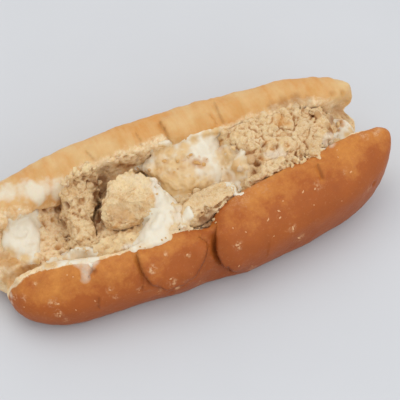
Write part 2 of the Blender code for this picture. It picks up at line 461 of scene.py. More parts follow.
def nearest_of(points, line):
    """Each point's distance to the nearest of the line's points, and the number of that one."""
    best = np.full(len(points), np.inf)
    which = np.zeros(len(points), int)
    for number, spot in enumerate(line):
        away = np.linalg.norm(points - spot, axis=1)
        closer = away < best
        best[closer] = away[closer]
        which[closer] = number
    return best, which


def ragged_discs(points, tree, features, unevenness, seed):
    """For each feature that is seen, given as pixel, radius in pixels and amount: how far from it each
    point lies, in radii and unevenly, and the amount.
    """
    ragged = unevenness * wave(points, RAGGED_LENGTH, seed)
    for x, y, radius, amount in features:
        centre = sight(tree, (x, y))[0]
        if centre is not None:
            yield np.linalg.norm(points - np.array(centre), axis=1) / (radius * PIXEL) + ragged, amount


def spots(points, tree, features):
    """Sum of ragged swells, or pits if negative, each given as pixel, radius in pixels, height in mm."""
    total = np.zeros(len(points))
    for share, height in ragged_discs(points, tree, features, 0.35, 17.0):
        total += height * MM * ramp(share, 1.1, 0.2)
    return total


def blots(points, tree, features):
    """The strength of ragged, soft-edged patches, each given as pixel, radius in pixels and strength."""
    total = np.zeros(len(points))
    for share, strength in ragged_discs(points, tree, features, 0.3, 18.0):
        total = np.maximum(total, strength * ramp(share, 1.3, 0.3))
    return total


def grooves(points, tree, lines):
    """Cracks along lines of pixels, each with its width and depth in mm."""
    total = np.zeros(len(points))
    ragged = 0.6 * MM * wave(points, 1.6 * MM, 19.0)
    for pixels, width, depth in lines:
        away = np.abs(nearest_of(points, line_points(tree, pixels))[0] + ragged) / (width * MM)
        total = np.maximum(total, depth * MM * np.exp(-away * away))
    return total


def within(outline, x, y):
    """Whether each place lies inside a closed outline."""
    corners = np.array(outline, float)
    crossings = np.zeros(len(x), int)
    for (x0, y0), (x1, y1) in zip(corners, np.roll(corners, -1, axis=0)):
        if y0 != y1:
            crossings += ((y0 > y) != (y1 > y)) & (x < x0 + (y - y0) * (x1 - x0) / (y1 - y0))
    return crossings % 2 == 1


def covered(outline, step=1.2):
    """The pixels, a step apart, inside a closed outline of pixels."""
    low, high = np.min(outline, axis=0), np.max(outline, axis=0)
    x, y = (grid.ravel() for grid in np.meshgrid(*(np.arange(*ends, step) for ends in zip(low, high))))
    return np.array((x, y)).T[within(outline, x, y)]


def border_distance(outline, pixels):
    """Each pixel's distance to the nearest side of a closed outline."""
    starts = np.array(outline, float)
    sides = np.roll(starts, -1, axis=0) - starts
    offset = pixels[:, None] - starts
    share = np.clip(np.einsum("ijk,jk->ij", offset, sides) / (sides ** 2).sum(axis=1), 0, 1)
    return np.linalg.norm(offset - share[..., None] * sides, axis=2).min(axis=1)


def painted(piece, patches, seed, passes=12):
    """The strength of patches on what faces the camera, soft and uneven at their edges, each given as an
    outline of pixels and a strength.
    """
    mesh = piece.data
    points = positions(mesh)
    place = in_picture(warped(points, 5 * MM, 1.6 * MM, seed))
    facing = vertex_normals(mesh) @ np.array(camera_axes()[2]) > FACING
    total = np.zeros(len(points))
    for outline, strength in patches:
        total = np.maximum(total, strength * within(outline, *place))
    return relaxed(total * facing, edge_ends(mesh), passes)[:, 0]


# ---------------------------------------------------------------- lumps, chips and strands

BALL_POINTS, BALL_FACES = ball(3)
DOT_POINTS, DOT_FACES = ball(2)
CHIP_SIDES = 11
CHIP_DEPTHS = (0.62, 1.0)    # how far its flat sides lie from its middle, in radii
CHIP_REACH = 1.15            # its corners are worn down to this many radii
CHIP_STRETCH = 0.35
CHIP_WEAR = 0.12
STREWN_AREA = (1.5 * MM) ** 2  # a face gives one place for chips for each such area
STREWN_SPREAD = 1.2          # how far a chip lands from its place, in mm
STREWN_SUNK = (0.1, 0.6)     # how deep it sinks in, in radii
FLATNESS = 0.8               # the share by which a face is pressed flat
FILM_RADIUS = 1.2 * MM
FILM_EDGE = 5                # pixels over which a film runs out
FILM_SUNK = 0.1              # how far its very edge lies under the surface, in mm


def turned(count, random):
    """Random rotation matrices."""
    return np.linalg.qr(random.normal(size=(count, 3, 3)))[0]


def chips(centres, radii, seed, thin=1.0):
    """A closed shell for each centre: a bit with flat sides and worn edges, flatter if thin is small."""
    random = np.random.default_rng(seed)
    shells = []
    turns = turned(len(centres), random)
    for centre, radius, turn in zip(centres, radii, turns):
        sides = random.normal(size=(CHIP_SIDES, 3))
        sides /= np.linalg.norm(sides, axis=1)[:, None]
        depths = random.uniform(*CHIP_DEPTHS, CHIP_SIDES)
        facing = np.maximum(BALL_POINTS @ sides.T, 0.05)
        reach = (depths / facing).min(axis=1).clip(max=CHIP_REACH)
        stretch = (1 + CHIP_STRETCH * random.uniform(-1, 1, 3)) * (1, 1, thin)
        body = BALL_POINTS * reach[:, None] * stretch @ turn
        body *= (1 + CHIP_WEAR * wave(body, 0.5, seed + len(shells)))[:, None]
        shells.append((centre + radius * body, BALL_FACES))
    return shells


def strand(tree, pixels, radii, lift, step=1.5):
    """Balls in a row under a line of pixels, to be fused: radii and lift above the surface in mm."""
    line = line_points(tree, pixels, step)
    widths = np.interp(np.linspace(0, 1, len(line)), np.linspace(0, 1, len(radii)), radii)
    up = np.array((0, 0, lift * MM))
    return [(spot + up + BALL_POINTS * width * MM, BALL_FACES) for spot, width in zip(line, widths)]


def flatten(piece, outlines):
    """Press what is seen inside each outline towards the plane nearest to the outline's corners."""
    tree = piece_tree(piece)
    for outline in outlines:
        seen = [sight(tree, pixel)[0] for pixel in outline]
        corners = np.array([spot for spot in seen if spot is not None])
        middle = corners.mean(axis=0)
        out = np.linalg.svd(corners - middle)[2][2]
        points = positions(piece.data)
        share = FLATNESS * painted(piece, ((outline, 1.0),), 0.0, 5)
        move_to(piece.data, points - (share * ((points - middle) @ out))[:, None] * out)


def film(tree, outline, thickness, uneven=0.4):
    """Small balls sunk into the surface seen inside an outline of pixels, to be fused: the film is as thick
    as given in mm, and runs out towards the outline.
    """
    shells = []
    pixels = covered(outline)
    for pixel, inward in zip(pixels, ramp(border_distance(outline, pixels), 0, FILM_EDGE)):
        point, normal = sight(tree, pixel)
        if point is not None:
            above = thickness * (1 + uneven * wave(np.array([point]), 3 * MM, thickness)[0])
            sink = FILM_RADIUS - MM * (above * inward - FILM_SUNK)
            shells.append((np.array(point - normal * sink) + DOT_POINTS * FILM_RADIUS, DOT_FACES))
    return shells


def lumps_at(tree, features, sink, seed):
    """Chips whose centres lie a little under the surface at the features: pixel and radius in pixels."""
    centres = []
    radii = []
    for x, y, radius in features:
        point, normal = sight(tree, (x, y))
        if point is not None:
            centres.append(np.array(point - normal * sink * radius * PIXEL))
            radii.append(radius * PIXEL)
    return chips(centres, radii, seed)


def spread(mesh):
    """Points all over a coarse mesh, with the normals of its faces: large faces give more."""
    points = []
    normals = []
    random = np.random.default_rng(5)
    for face in mesh.polygons:
        corners = np.array([mesh.vertices[index].co for index in face.vertices])
        count = int(face.area / STREWN_AREA) + 1
        shares = random.dirichlet(np.ones(len(corners)), count)
        points.append(shares @ corners)
        normals.append(np.tile(face.normal, (count, 1)))
    return np.concatenate(points), np.concatenate(normals)


def scattered(shell, count, smallest, largest, thin, seed):
    """Chips strewn over the upper side of a shell, mostly small, with radii in millimetres."""
    random = np.random.default_rng(seed)
    points, faces = shell
    mesh = bpy.data.meshes.new("scratch")
    mesh.from_pydata(points, [], faces)
    points, normals = spread(mesh)
    bpy.data.meshes.remove(mesh)
    places = random.choice(np.flatnonzero(normals[:, 2] > 0.1), count)
    radii = (smallest + (largest - smallest) * random.random(count) ** 2) * MM
    centres = points[places] + random.normal(size=(count, 3)) * STREWN_SPREAD * MM
    centres -= normals[places] * radii[:, None] * random.uniform(*STREWN_SUNK, (count, 1))
    return chips(centres, radii, seed, thin)


# ---------------------------------------------------------------- materials

def linear(*levels):
    """A colour given in the 0 to 255 levels of a picture, made linear."""
    shares = [level / 255 for level in levels]
    return tuple(s / 12.92 if s <= 0.04045 else ((s + 0.055) / 1.055) ** 2.4 for s in shares) + (1.0,)


class Nodes:
    """A short way to write a material's node tree."""

    def __init__(self, name, roughness, subsurface=0.0, radius=(1.0, 0.5, 0.25), scale=1.0 * MM):
        self.material = bpy.data.materials.new(name)
        self.material.use_nodes = True
        self.tree = self.material.node_tree
        self.shader = self.tree.nodes["Principled BSDF"]
        self.shader.inputs["Roughness"].default_value = roughness
        self.shader.inputs["Subsurface Weight"].default_value = subsurface
        self.shader.inputs["Subsurface Radius"].default_value = radius
        self.shader.inputs["Subsurface Scale"].default_value = scale
        self.place = self.tree.nodes.new("ShaderNodeTexCoord").outputs["Object"]

    def node(self, kind, **settings):
        node = self.tree.nodes.new(kind)
        for name, value in settings.items():
            setattr(node, name, value)
        return node

    def join(self, source, target):
        if isinstance(source, bpy.types.NodeSocket):
            self.tree.links.new(source, target)
        else:
            target.default_value = source

    def attribute(self, name):
        return self.node("ShaderNodeAttribute", attribute_name=name).outputs["Fac"]

    def noise(self, length, detail=3.0, roughness=0.55, stretch=(1, 1, 1), shift=0.0):
        """Noise from 0 to 1 whose features are about length across."""
        mapping = self.node("ShaderNodeMapping")
        mapping.inputs["Scale"].default_value = stretch
        mapping.inputs["Location"].default_value = (shift, shift, shift)
        self.join(self.place, mapping.inputs["Vector"])
        texture = self.node("ShaderNodeTexNoise")
        texture.inputs["Scale"].default_value = 1 / length
        texture.inputs["Detail"].default_value = detail
        texture.inputs["Roughness"].default_value = roughness
        self.join(mapping.outputs["Vector"], texture.inputs["Vector"])
        return texture.outputs["Fac"]

    def math(self, operation, *values):
        node = self.node("ShaderNodeMath", operation=operation)
        for value, socket in zip(values, node.inputs):
            self.join(value, socket)
        return node.outputs["Value"]

    def uneven(self, value, noise, amount):
        """The value with noise of the given amount about it."""
        return self.math("ADD", value, self.math("MULTIPLY", self.math("SUBTRACT", noise, 0.5), amount))

    def stretch(self, value, low, high, to_low=0.0, to_high=1.0):
        """Bring low..high to to_low..to_high, and no further."""
        node = self.node("ShaderNodeMapRange", clamp=True)
        for number, socket in zip((value, low, high, to_low, to_high), node.inputs):
            self.join(number, socket)
        return node.outputs["Result"]

    def mix(self, share, first, second):
        node = self.node("ShaderNodeMixRGB")
        for value, socket in zip((share, first, second), node.inputs):
            self.join(value, socket)
        return node.outputs["Color"]

    def shade(self, colour, value, low, high, amount, tone):
        """The colour turned towards the tone as the value goes from low to high, by the amount at most."""
        return self.mix(self.stretch(value, low, high, 0.0, amount), colour, tone)

    def tint(self, colour, name, amount, tone):
        """The colour turned towards the tone by the attribute times the amount."""
        return self.mix(self.math("MULTIPLY", self.attribute(name), amount), colour, tone)

    def bump(self, height, distance, strength=1.0, under=None):
        node = self.node("ShaderNodeBump")
        node.inputs["Strength"].default_value = strength
        node.inputs["Distance"].default_value = distance
        self.join(height, node.inputs["Height"])
        if under is not None:
            self.join(under, node.inputs["Normal"])
        return node.outputs["Normal"]

    def finish(self, colour, normal=None, roughness=None):
        self.join(colour, self.shader.inputs["Base Color"])
        if normal is not None:
            self.join(normal, self.shader.inputs["Normal"])
        if roughness is not None:
            self.join(roughness, self.shader.inputs["Roughness"])
        return self.material


def floor_material():
    nodes = Nodes("floor", 0.6)
    faint = nodes.noise(60 * MM, 2.0)
    return nodes.finish(nodes.mix(faint, linear(206, 207, 209), linear(210, 211, 213)))


def bread_material():
    nodes = Nodes("bread", 0.5, 0.1, (1.0, 0.4, 0.15), 1.0 * MM)
    nodes.shader.inputs["Specular IOR Level"].default_value = 0.22
    broad = nodes.noise(22 * MM, 3.0, 0.55, shift=0.3)
    mottle = nodes.noise(7 * MM, 5.0, 0.65)
    fine = nodes.noise(1.6 * MM, 4.0, 0.65)
    low = nodes.attribute("low")
    for noise, amount in ((mottle, 0.6), (broad, 0.5), (fine, 0.25)):
        low = nodes.uneven(low, noise, amount)
    near = nodes.mix(nodes.stretch(low, -0.1, 0.36), linear(222, 152, 72), linear(174, 93, 36))
    near = nodes.mix(nodes.stretch(low, 0.3, 0.95), near, linear(149, 75, 32))
    near = nodes.shade(near, fine, 0.58, 0.75, 0.3, linear(224, 158, 98))
    floury = nodes.math("MULTIPLY", nodes.attribute("floury"), nodes.stretch(fine, 0.45, 0.62))
    near = nodes.mix(floury, near, linear(232, 188, 140))
    streaks = nodes.noise(3.5 * MM, 4.0, 0.6, (1, 0.22, 0.22))
    gold = nodes.uneven(nodes.uneven(nodes.attribute("gold"), mottle, 1.0), streaks, 1.1)
    far = nodes.mix(nodes.stretch(gold, -0.15, 1.1), linear(222, 188, 134), linear(210, 140, 62))
    crust = nodes.mix(nodes.attribute("far"), near, far)
    # Painted shade: dark brown along the creases of the brown crust
    crust = nodes.shade(crust, nodes.attribute("crease"), 0.1, 1.0, 0.85, linear(92, 36, 14))
    torn = nodes.mix(nodes.stretch(fine, 0.35, 0.65), linear(228, 192, 142), linear(242, 219, 180))
    # Painted shade: darker brown in the crumb's hollows and pores
    torn = nodes.shade(torn, nodes.attribute("hollow_shade"), 0.05, 0.6, 0.75, linear(186, 128, 70))
    # Painted shade where the crumb is hidden from the sky
    torn = nodes.shade(torn, nodes.attribute("deep"), 0.6, 1.0, 0.45, linear(172, 114, 62))
    inside = nodes.stretch(nodes.uneven(nodes.attribute("crumb"), fine, 0.6), 0.25, 0.75)
    colour = nodes.mix(inside, crust, torn)
    # Toasted patches, and painted shade under the lip, in valleys and golden in the pale half's creases
    colour = nodes.tint(colour, "toasted", 0.75, linear(198, 138, 62))
    # Painted shade, brown in holes, valleys, pits and under the lip
    colour = nodes.tint(colour, "brown", 0.85, linear(132, 76, 36))
    milky = nodes.uneven(nodes.attribute("milky"), mottle, 0.9)
    colour = nodes.shade(colour, milky, 0.2, 0.8, 0.85, linear(230, 221, 198))
    soft = nodes.bump(fine, 0.35 * MM, 0.6)
    skin = nodes.bump(nodes.noise(0.7 * MM, 3.0, 0.6), 0.15 * MM, 0.6, soft)
    return nodes.finish(colour, skin, nodes.stretch(inside, 0.0, 1.0, 0.42, 0.85))


def halva_material():
    nodes = Nodes("halva", 0.8, 0.1, (1.0, 0.6, 0.3), 0.8 * MM)
    nodes.shader.inputs["Specular IOR Level"].default_value = 0.25
    mottle = nodes.noise(5 * MM, 4.0, 0.6)
    fine = nodes.noise(0.9 * MM, 4.0, 0.7)
    speck = nodes.noise(0.5 * MM, 3.0, 0.7)
    colour = nodes.mix(nodes.stretch(mottle, 0.3, 0.7), linear(231, 203, 158), linear(217, 178, 121))
    colour = nodes.shade(colour, fine, 0.42, 0.7, 0.6, linear(243, 222, 188))
    colour = nodes.shade(colour, speck, 0.6, 0.78, 0.45, linear(204, 148, 84))
    # Painted shade: darker brown in hollows
    colour = nodes.shade(colour, nodes.attribute("hollow_shade"), 0.05, 0.7, 0.7, linear(184, 124, 68))
    # Painted shade in narrow clefts between plates
    colour = nodes.shade(colour, nodes.attribute("cleft_shade"), 0.45, 0.95, 0.75, linear(166, 108, 56))
    # Painted shade where the halva is hidden from the sky
    colour = nodes.shade(colour, nodes.attribute("deep"), 0.7, 1.0, 0.25, linear(170, 114, 62))
    colour = nodes.tint(colour, "toasted", 0.7, linear(212, 150, 76))
    # Painted shade, brown in holes, pockets and cracks
    colour = nodes.tint(colour, "brown", 0.85, linear(140, 84, 42))
    # Painted light on lit tops and fronts
    colour = nodes.tint(colour, "pale", 0.7, linear(250, 227, 178))
    milky = nodes.uneven(nodes.attribute("milky"), mottle, 0.9)
    colour = nodes.shade(colour, milky, 0.2, 0.8, 0.8, linear(236, 226, 208))
    rough = nodes.bump(speck, 0.2 * MM, 0.6, nodes.bump(fine, 0.35 * MM, 0.9))
    return nodes.finish(colour, rough)


def cream_material():
    nodes = Nodes("cream", 0.4, 0.2, (1.0, 0.8, 0.55), 1.2 * MM)
    mottle = nodes.noise(5 * MM, 4.0, 0.6)
    cloudy = nodes.uneven(nodes.attribute("beige"), mottle, 0.7)
    colour = nodes.mix(nodes.stretch(cloudy, 0.0, 1.0), linear(232, 222, 200), linear(222, 187, 132))
    # Toasted patches, and painted shade in the hollow at the blunt end
    colour = nodes.tint(colour, "toasted", 0.8, linear(196, 132, 58))
    smooth = nodes.bump(nodes.noise(2.5 * MM, 2.0, 0.5), 0.3 * MM, 0.4)
    grainy = nodes.bump(mottle, 0.2 * MM, 0.3, smooth)
    return nodes.finish(colour, grainy)


def fleck_material():
    nodes = Nodes("flecks", 0.6)
    speckle = nodes.noise(0.8 * MM, 3.0, 0.6)
    return nodes.finish(nodes.mix(speckle, linear(206, 144, 90), linear(232, 190, 142)))


def toasted_material():
    nodes = Nodes("toasted", 0.55)
    speckle = nodes.noise(1.2 * MM, 3.0, 0.6)
    return nodes.finish(nodes.mix(speckle, linear(182, 126, 60), linear(230, 186, 118)))


# ---------------------------------------------------------------- what hides the sky, for painted shade

SHELLS = {name: node_shell(name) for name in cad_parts}
SOLIDS = tree_of(SHELLS.values())
SKY_RAYS = 8
SKYWARD = (0, 0, 1.4)        # the rays lean up by this much


def shelter(piece, chosen, tree=SOLIDS, reach=60 * MM, start=1.2 * MM, passes=12):
    """Share of the sky that the tree hides from each chosen point, evened out over its surroundings."""
    mesh = piece.data
    points = positions(mesh)
    starts = points + start * vertex_normals(mesh)
    random = np.random.default_rng(7)
    ways = random.normal(size=(len(points), SKY_RAYS, 3)) + SKYWARD
    ways[:, :, 2] = np.abs(ways[:, :, 2])
    hidden = np.zeros(len(points))
    for index in np.flatnonzero(chosen):
        begin = Vector(starts[index])
        for way in ways[index]:
            hidden[index] += tree.ray_cast(begin, Vector(way), reach)[0] is not None
    return relaxed(hidden / SKY_RAYS, edge_ends(mesh), passes)[:, 0]


# ---------------------------------------------------------------- bread

BREAD_VOXEL = 1.15 * MM
SLICE = 4 * MM               # the edges of the halves are looked for in slices along X
NEAR_HALF = -3 * MM          # the brown half lies below this Y
FAR_HALF = 8 * MM            # the pale half lies above this Y
BARE_LEFT = -30 * MM         # the crumb is bare left of this X, right of the next, and past the Y below
BARE_RIGHT = 60 * MM
BARE_FAR = 12 * MM
BARE_ABOVE = 9 * MM          # and it is finely shaped from this height up

# The pale half's crust ends at this line in the picture, and torn crumb lies below it
FAR_EDGE = (
    (-40, 218), (0, 212), (20, 207), (45, 205), (64, 201), (70, 172), (85, 164), (100, 160), (112, 155),
    (125, 149), (138, 145), (150, 140), (163, 133), (171, 141), (180, 143), (192, 139), (205, 135),
    (216, 131), (225, 127), (250, 115), (275, 106), (300, 98), (320, 98), (335, 101), (350, 105),
    (400, 108),
)
FAR_EDGE_SOFT = 8            # pixels over which the one turns into the other

# How much darker the brown crust is baked along X: places in millimetres and shares
BAKED = ((-60, 0.08), (-30, 0.16), (-12, 0.3), (8, 0.28), (25, 0.16), (50, 0.24), (80, 0.18))

# How far past its ridge the brown crust goes on along X, in millimetres
BROWNED_RIM = ((-4, 0), (8, 3), (66, 3), (86, 1.2))

# Folds of the brown crust: each a line of pixels, then in millimetres how high the crust rises beside it
# and how deep it sinks on the other side, and which side rises as the line runs, 1 the left and -1 the
# right one
FOLDS = (
    (((137, 248), (138, 256), (141, 264), (145, 274), (152, 282), (162, 287)), 2.0, 1.5, 1),
    (((156, 284), (166, 288), (178, 284), (190, 282)), 1.4, 1.6, 1),
    (((146, 276), (144, 285), (142, 294)), 0.5, 0.6, 1),
    (((206, 240), (203, 249), (200, 259), (195, 270), (188, 283)), 2.4, 2.0, -1),
    (((216, 224), (219, 236), (218, 245), (218, 252), (224, 261), (231, 268), (242, 277)), 2.6, 2.0, 1),
    (((197, 237), (203, 242), (211, 246)), 1.2, 1.2, -1),
    (((93, 263), (92, 271), (88, 281)), 0.5, 0.8, 1),
    (((229, 262), (233, 267), (240, 272)), 0.3, 2.2, 1),
    (((271, 238), (269, 248), (266, 260)), 0.25, 0.35, 1),
    (((317, 162), (321, 171), (325, 182)), 0.8, 1.0, 1),
    (((100, 296), (99, 303), (100, 311)), 0.3, 0.7, 1),
)
# The same for the pale half, whose creases get a painted golden shade
FAR_FOLDS = (
    (((20, 212), (32, 207), (46, 206), (58, 204), (68, 198)), 1.3, 1.6, 1),
    (((158, 119), (165, 128), (170, 137), (173, 146)), 1.4, 1.4, 1),
    (((213, 100), (218, 109), (221, 117), (226, 127)), 0.7, 0.9, 1),
    (((207, 112), (213, 119), (218, 127)), 0.5, 0.7, -1),
    (((134, 130), (140, 139), (144, 150)), 0.4, 0.6, 1),
    (((84, 149), (91, 156), (97, 163)), 0.4, 0.6, 1),
)
FOLD_LIP = 1.1 * MM          # from the crease to where its raised side is full height
FOLD_FADE = 7.0 * MM         # the raised side sinks back over this length
FOLD_DIP = 2.6 * MM          # the same for the sunk side
FOLD_OVERHANG = 0.5          # the raised side leans over the crease by this share of its height
FOLD_ZONE = 7 * MM           # how far a fold reaches before it fades
FOLD_TAPER = 0.22            # the share of its length over which a fold runs out at each end
CREASE_RAISED = 0.8          # how far a crease's dark shade reaches up its raised side, in mm
CREASE_SUNK = 0.7            # the same for its sunk side, and how much further for each mm of the rise
CREASE_WIDENS = 0.15

# The notch under the pale half's tip: how deep, and where in the picture
NOTCH_DEPTH = 5 * MM
NOTCH_ACROSS = (326, 348)
NOTCH_DOWN = 110
NOTCH_HALF = 7

# Noises in the roll's surface: length in mm, strength and seed. EDGE_NOISE shifts the edges between crust
# and crumb
EDGE_NOISE = ((7, 1.0, 2.0), (2.5, 0.5, 2.5))
LEATHER = ((14, 0.35, 3.0), (5, 0.16, 13.0), (2.6, 0.07, 14.0))
WRINKLES = (((5, 40, 40), 1.0, 5.0), ((2.2, 16, 16), 0.5, 6.0))

# Swells of the bread, or pits if negative: pixel, radius in pixels, height in mm
DENTS = (
    (93, 272, 4, -1.2), (86, 268, 5, 1.0), (85, 277, 4, 0.8), (374, 184, 4, -1.2), (315, 184, 4, -0.6),
    (333, 94, 4, -1.4), (343, 93, 3, -1.0), (232, 272, 3, -3.0), (212, 258, 4, 0.8), (209, 268, 5, 0.8),
    (87, 272, 4, 0.5), (172, 293, 5, -0.8), (46, 210, 4, -2.0), (349, 97, 6, 1.0), (330, 125, 7, -2.5),
    (325, 116, 5, -1.5), (340, 120, 5, 0.8), (348, 124, 5, 0.8), (347, 86, 6, 0.8), (320, 102, 6, -0.8),
    (28, 268, 8, -1.8), (40, 262, 4, -1.2), (62, 252, 4, -1.6), (68, 258, 4, 0.8), (54, 262, 4, 0.8),
    (18, 280, 5, 0.8), (122, 166, 5, -1.2), (132, 167, 5, -1.2), (53, 220, 3, -1.0), (59, 245, 4, -1.2),
    (74, 213, 3, -1.0), (2, 224, 8, 2.0), (12, 214, 8, 2.0), (26, 211, 8, 2.0), (37, 216, 6, 1.6),
    (41, 230, 6, 1.8), (41, 245, 6, 1.8), (37, 257, 6, 1.8), (25, 257, 7, 1.8), (9, 253, 8, 2.0),
    (0, 240, 8, 2.0),
)
# Toasted patches, with painted shade under the pale half's lip, at the foot of its wall, in the valley at
# the left end and in the hollow at the blunt end; painted brown shade in holes, valleys, pits, under the
# lip and along ledges; and floury patches: pixel, radius in pixels, strength
TOASTED_AND_SHADE = (
    (53, 220, 3, 0.9), (42, 241, 3, 0.9), (59, 245, 4, 0.8), (74, 214, 4, 0.7), (46, 209, 4, 0.8),
    (2, 224, 8, 0.6), (12, 212, 6, 0.5), (330, 127, 8, 0.9), (327, 119, 5, 0.9), (333, 94, 4, 0.8),
    (343, 93, 4, 0.7), (22, 273, 11, 1.0), (12, 262, 11, 0.9), (34, 266, 8, 0.9), (8, 282, 10, 0.8),
    (2, 262, 9, 0.8), (40, 284, 6, 0.3), (262, 106, 12, 0.4), (285, 101, 10, 0.4), (310, 92, 8, 0.3),
    (240, 110, 10, 0.5), (175, 137, 8, 0.5), (283, 106, 10, 0.5), (297, 102, 8, 0.4), (258, 114, 8, 0.4),
    (90, 152, 8, 0.3), (120, 140, 10, 0.3), (200, 122, 10, 0.35), (128, 166, 8, 0.7), (119, 165, 6, 0.7),
    (74, 161, 10, 0.35), (96, 156, 8, 0.3), (232, 104, 8, 0.3), (222, 118, 7, 0.3), (56, 262, 5, 0.3),
    (46, 266, 5, 0.3), (70, 262, 6, 0.3), (220, 147, 6, 0.7), (38, 172, 9, 0.4), (60, 170, 8, 0.4),
)
BROWN_SHADE = (
    (46, 210, 3, 0.8), (120, 166, 5, 0.7), (130, 166, 6, 0.7), (137, 160, 3, 0.5), (96, 184, 8, 0.5),
    (98, 198, 8, 0.8), (102, 180, 8, 0.75), (104, 170, 6, 0.5), (106, 188, 5, 0.7), (98, 212, 7, 0.8),
    (100, 224, 6, 0.8), (28, 270, 8, 0.5), (36, 265, 6, 0.5), (273, 107, 7, 0.42), (284, 103, 8, 0.48),
    (296, 100, 8, 0.48), (308, 100, 6, 0.35), (62, 252, 4, 0.6), (205, 222, 5, 0.8), (20, 276, 9, 0.35),
    (8, 270, 11, 0.3), (4, 256, 8, 0.25), (14, 286, 8, 0.25), (330, 128, 5, 0.4), (67, 206, 3, 0.8),
    (94, 271, 3, 0.6),
)
FLOURY = (
    (53, 302, 5, 0.7), (58, 314, 5, 0.8), (66, 320, 4, 0.6), (110, 290, 4, 0.6), (116, 297, 4, 0.5),
    (152, 268, 5, 0.7), (166, 254, 3, 0.5), (187, 255, 3, 0.5), (238, 245, 5, 0.8), (172, 281, 5, 0.6),
    (178, 287, 5, 0.6), (24, 298, 4, 0.5), (15, 297, 4, 0.8), (35, 284, 3, 0.6), (292, 228, 5, 0.5),
    (300, 238, 6, 0.4), (345, 172, 3, 0.4), (376, 132, 7, 0.5), (370, 188, 5, 0.5), (318, 186, 5, 0.4),
    (200, 283, 6, 0.4), (140, 290, 4, 0.5), (252, 268, 5, 0.4), (160, 292, 5, 0.5), (364, 135, 6, 0.4),
    (240, 196, 16, 0.25), (262, 184, 14, 0.2),
)

# Cream in a thin film over crumb and crust: outlines of pixels with a strength, then patches as above
BREAD_MILKY = (
    (((21, 187), (33, 181), (44, 184), (45, 197), (38, 202), (28, 200)), 0.85),
    (((48, 184), (58, 181), (66, 184), (66, 194), (58, 199), (50, 196)), 0.75),
    (((6, 224), (16, 212), (38, 211), (42, 236), (40, 256), (22, 256), (6, 248)), 0.6),
    (((72, 257), (92, 254), (98, 262), (93, 270), (90, 280), (85, 286), (80, 280), (79, 271),
      (70, 266)), 0.5),
    (((40, 269), (56, 258), (72, 252), (98, 251), (100, 262), (86, 266), (70, 263), (56, 266),
      (42, 272)), 0.6),
    (((324, 126), (346, 122), (346, 134), (330, 148)), 0.7),
)
BREAD_PALE = (
    (11, 288, 4, 0.5), (11, 295, 4, 0.55), (12, 302, 4, 0.55), (-8, 194, 14, 0.6), (8, 192, 15, 0.65),
    (26, 190, 14, 0.65), (44, 188, 14, 0.6), (60, 186, 13, 0.6), (4, 180, 10, 0.4), (380, 130, 7, 0.35),
)
MILKY_SEED = 14.0            # for the edges of the outlines
# Where the crumb is torn open
BREAD_TORN = (
    (((34, 208), (66, 205), (76, 216), (74, 246), (44, 264), (38, 250)), 0.8),
    (((98, 158), (125, 148), (158, 138), (164, 148), (148, 160), (132, 170), (104, 174)), 0.5),
)


def edge_lines(points):
    """Along X, the ridge of the brown half and the crown of the pale half: X, then Y and Z of the ridge, Y
    of the crown.
    """
    low, high = points[:, 0].min(), points[:, 0].max()
    rows = []
    for x in np.arange(low + SLICE / 2, high, SLICE):
        band = points[np.abs(points[:, 0] - x) < SLICE]
        near = band[band[:, 1] < NEAR_HALF]
        far = band[band[:, 1] > FAR_HALF]
        if len(near) and len(far):
            ridge = near[near[:, 2].argmax()]
            crown = far[far[:, 2].argmax()]
            rows.append((x, ridge[1], ridge[2], crown[1]))
    return np.array(rows)


def crumb_share(points, normals, lines):
    """1 on the torn inside of the roll, 0 on its crust."""
    x, y, z = points.T
    ridge_y = np.interp(x, lines[:, 0], lines[:, 1])
    crown_y = np.interp(x, lines[:, 0], lines[:, 3])
    rough = waves(points, EDGE_NOISE)
    browned = np.interp(x / MM, *np.array(BROWNED_RIM).T) * MM
    past_ridge = ramp(y - ridge_y - browned + 0.9 * MM * rough, 0.3 * MM, 1.5 * MM)
    before_crown = ramp(crown_y - y + 1.6 * MM * rough, -1.0 * MM, 3.0 * MM)
    across, down = in_picture(points)
    below_edge = down - np.interp(across, *np.array(FAR_EDGE).T) + 2.5 * rough
    under_lip = ramp(below_edge, -FAR_EDGE_SOFT, FAR_EDGE_SOFT)
    near_side = ramp(y, 6 * MM, 2 * MM)
    above_floor = np.maximum(ramp(z, 5 * MM, 8 * MM), ramp(normals[:, 2], 0.0, 0.3))
    return past_ridge * np.maximum(near_side, before_crown * under_lip) * above_floor


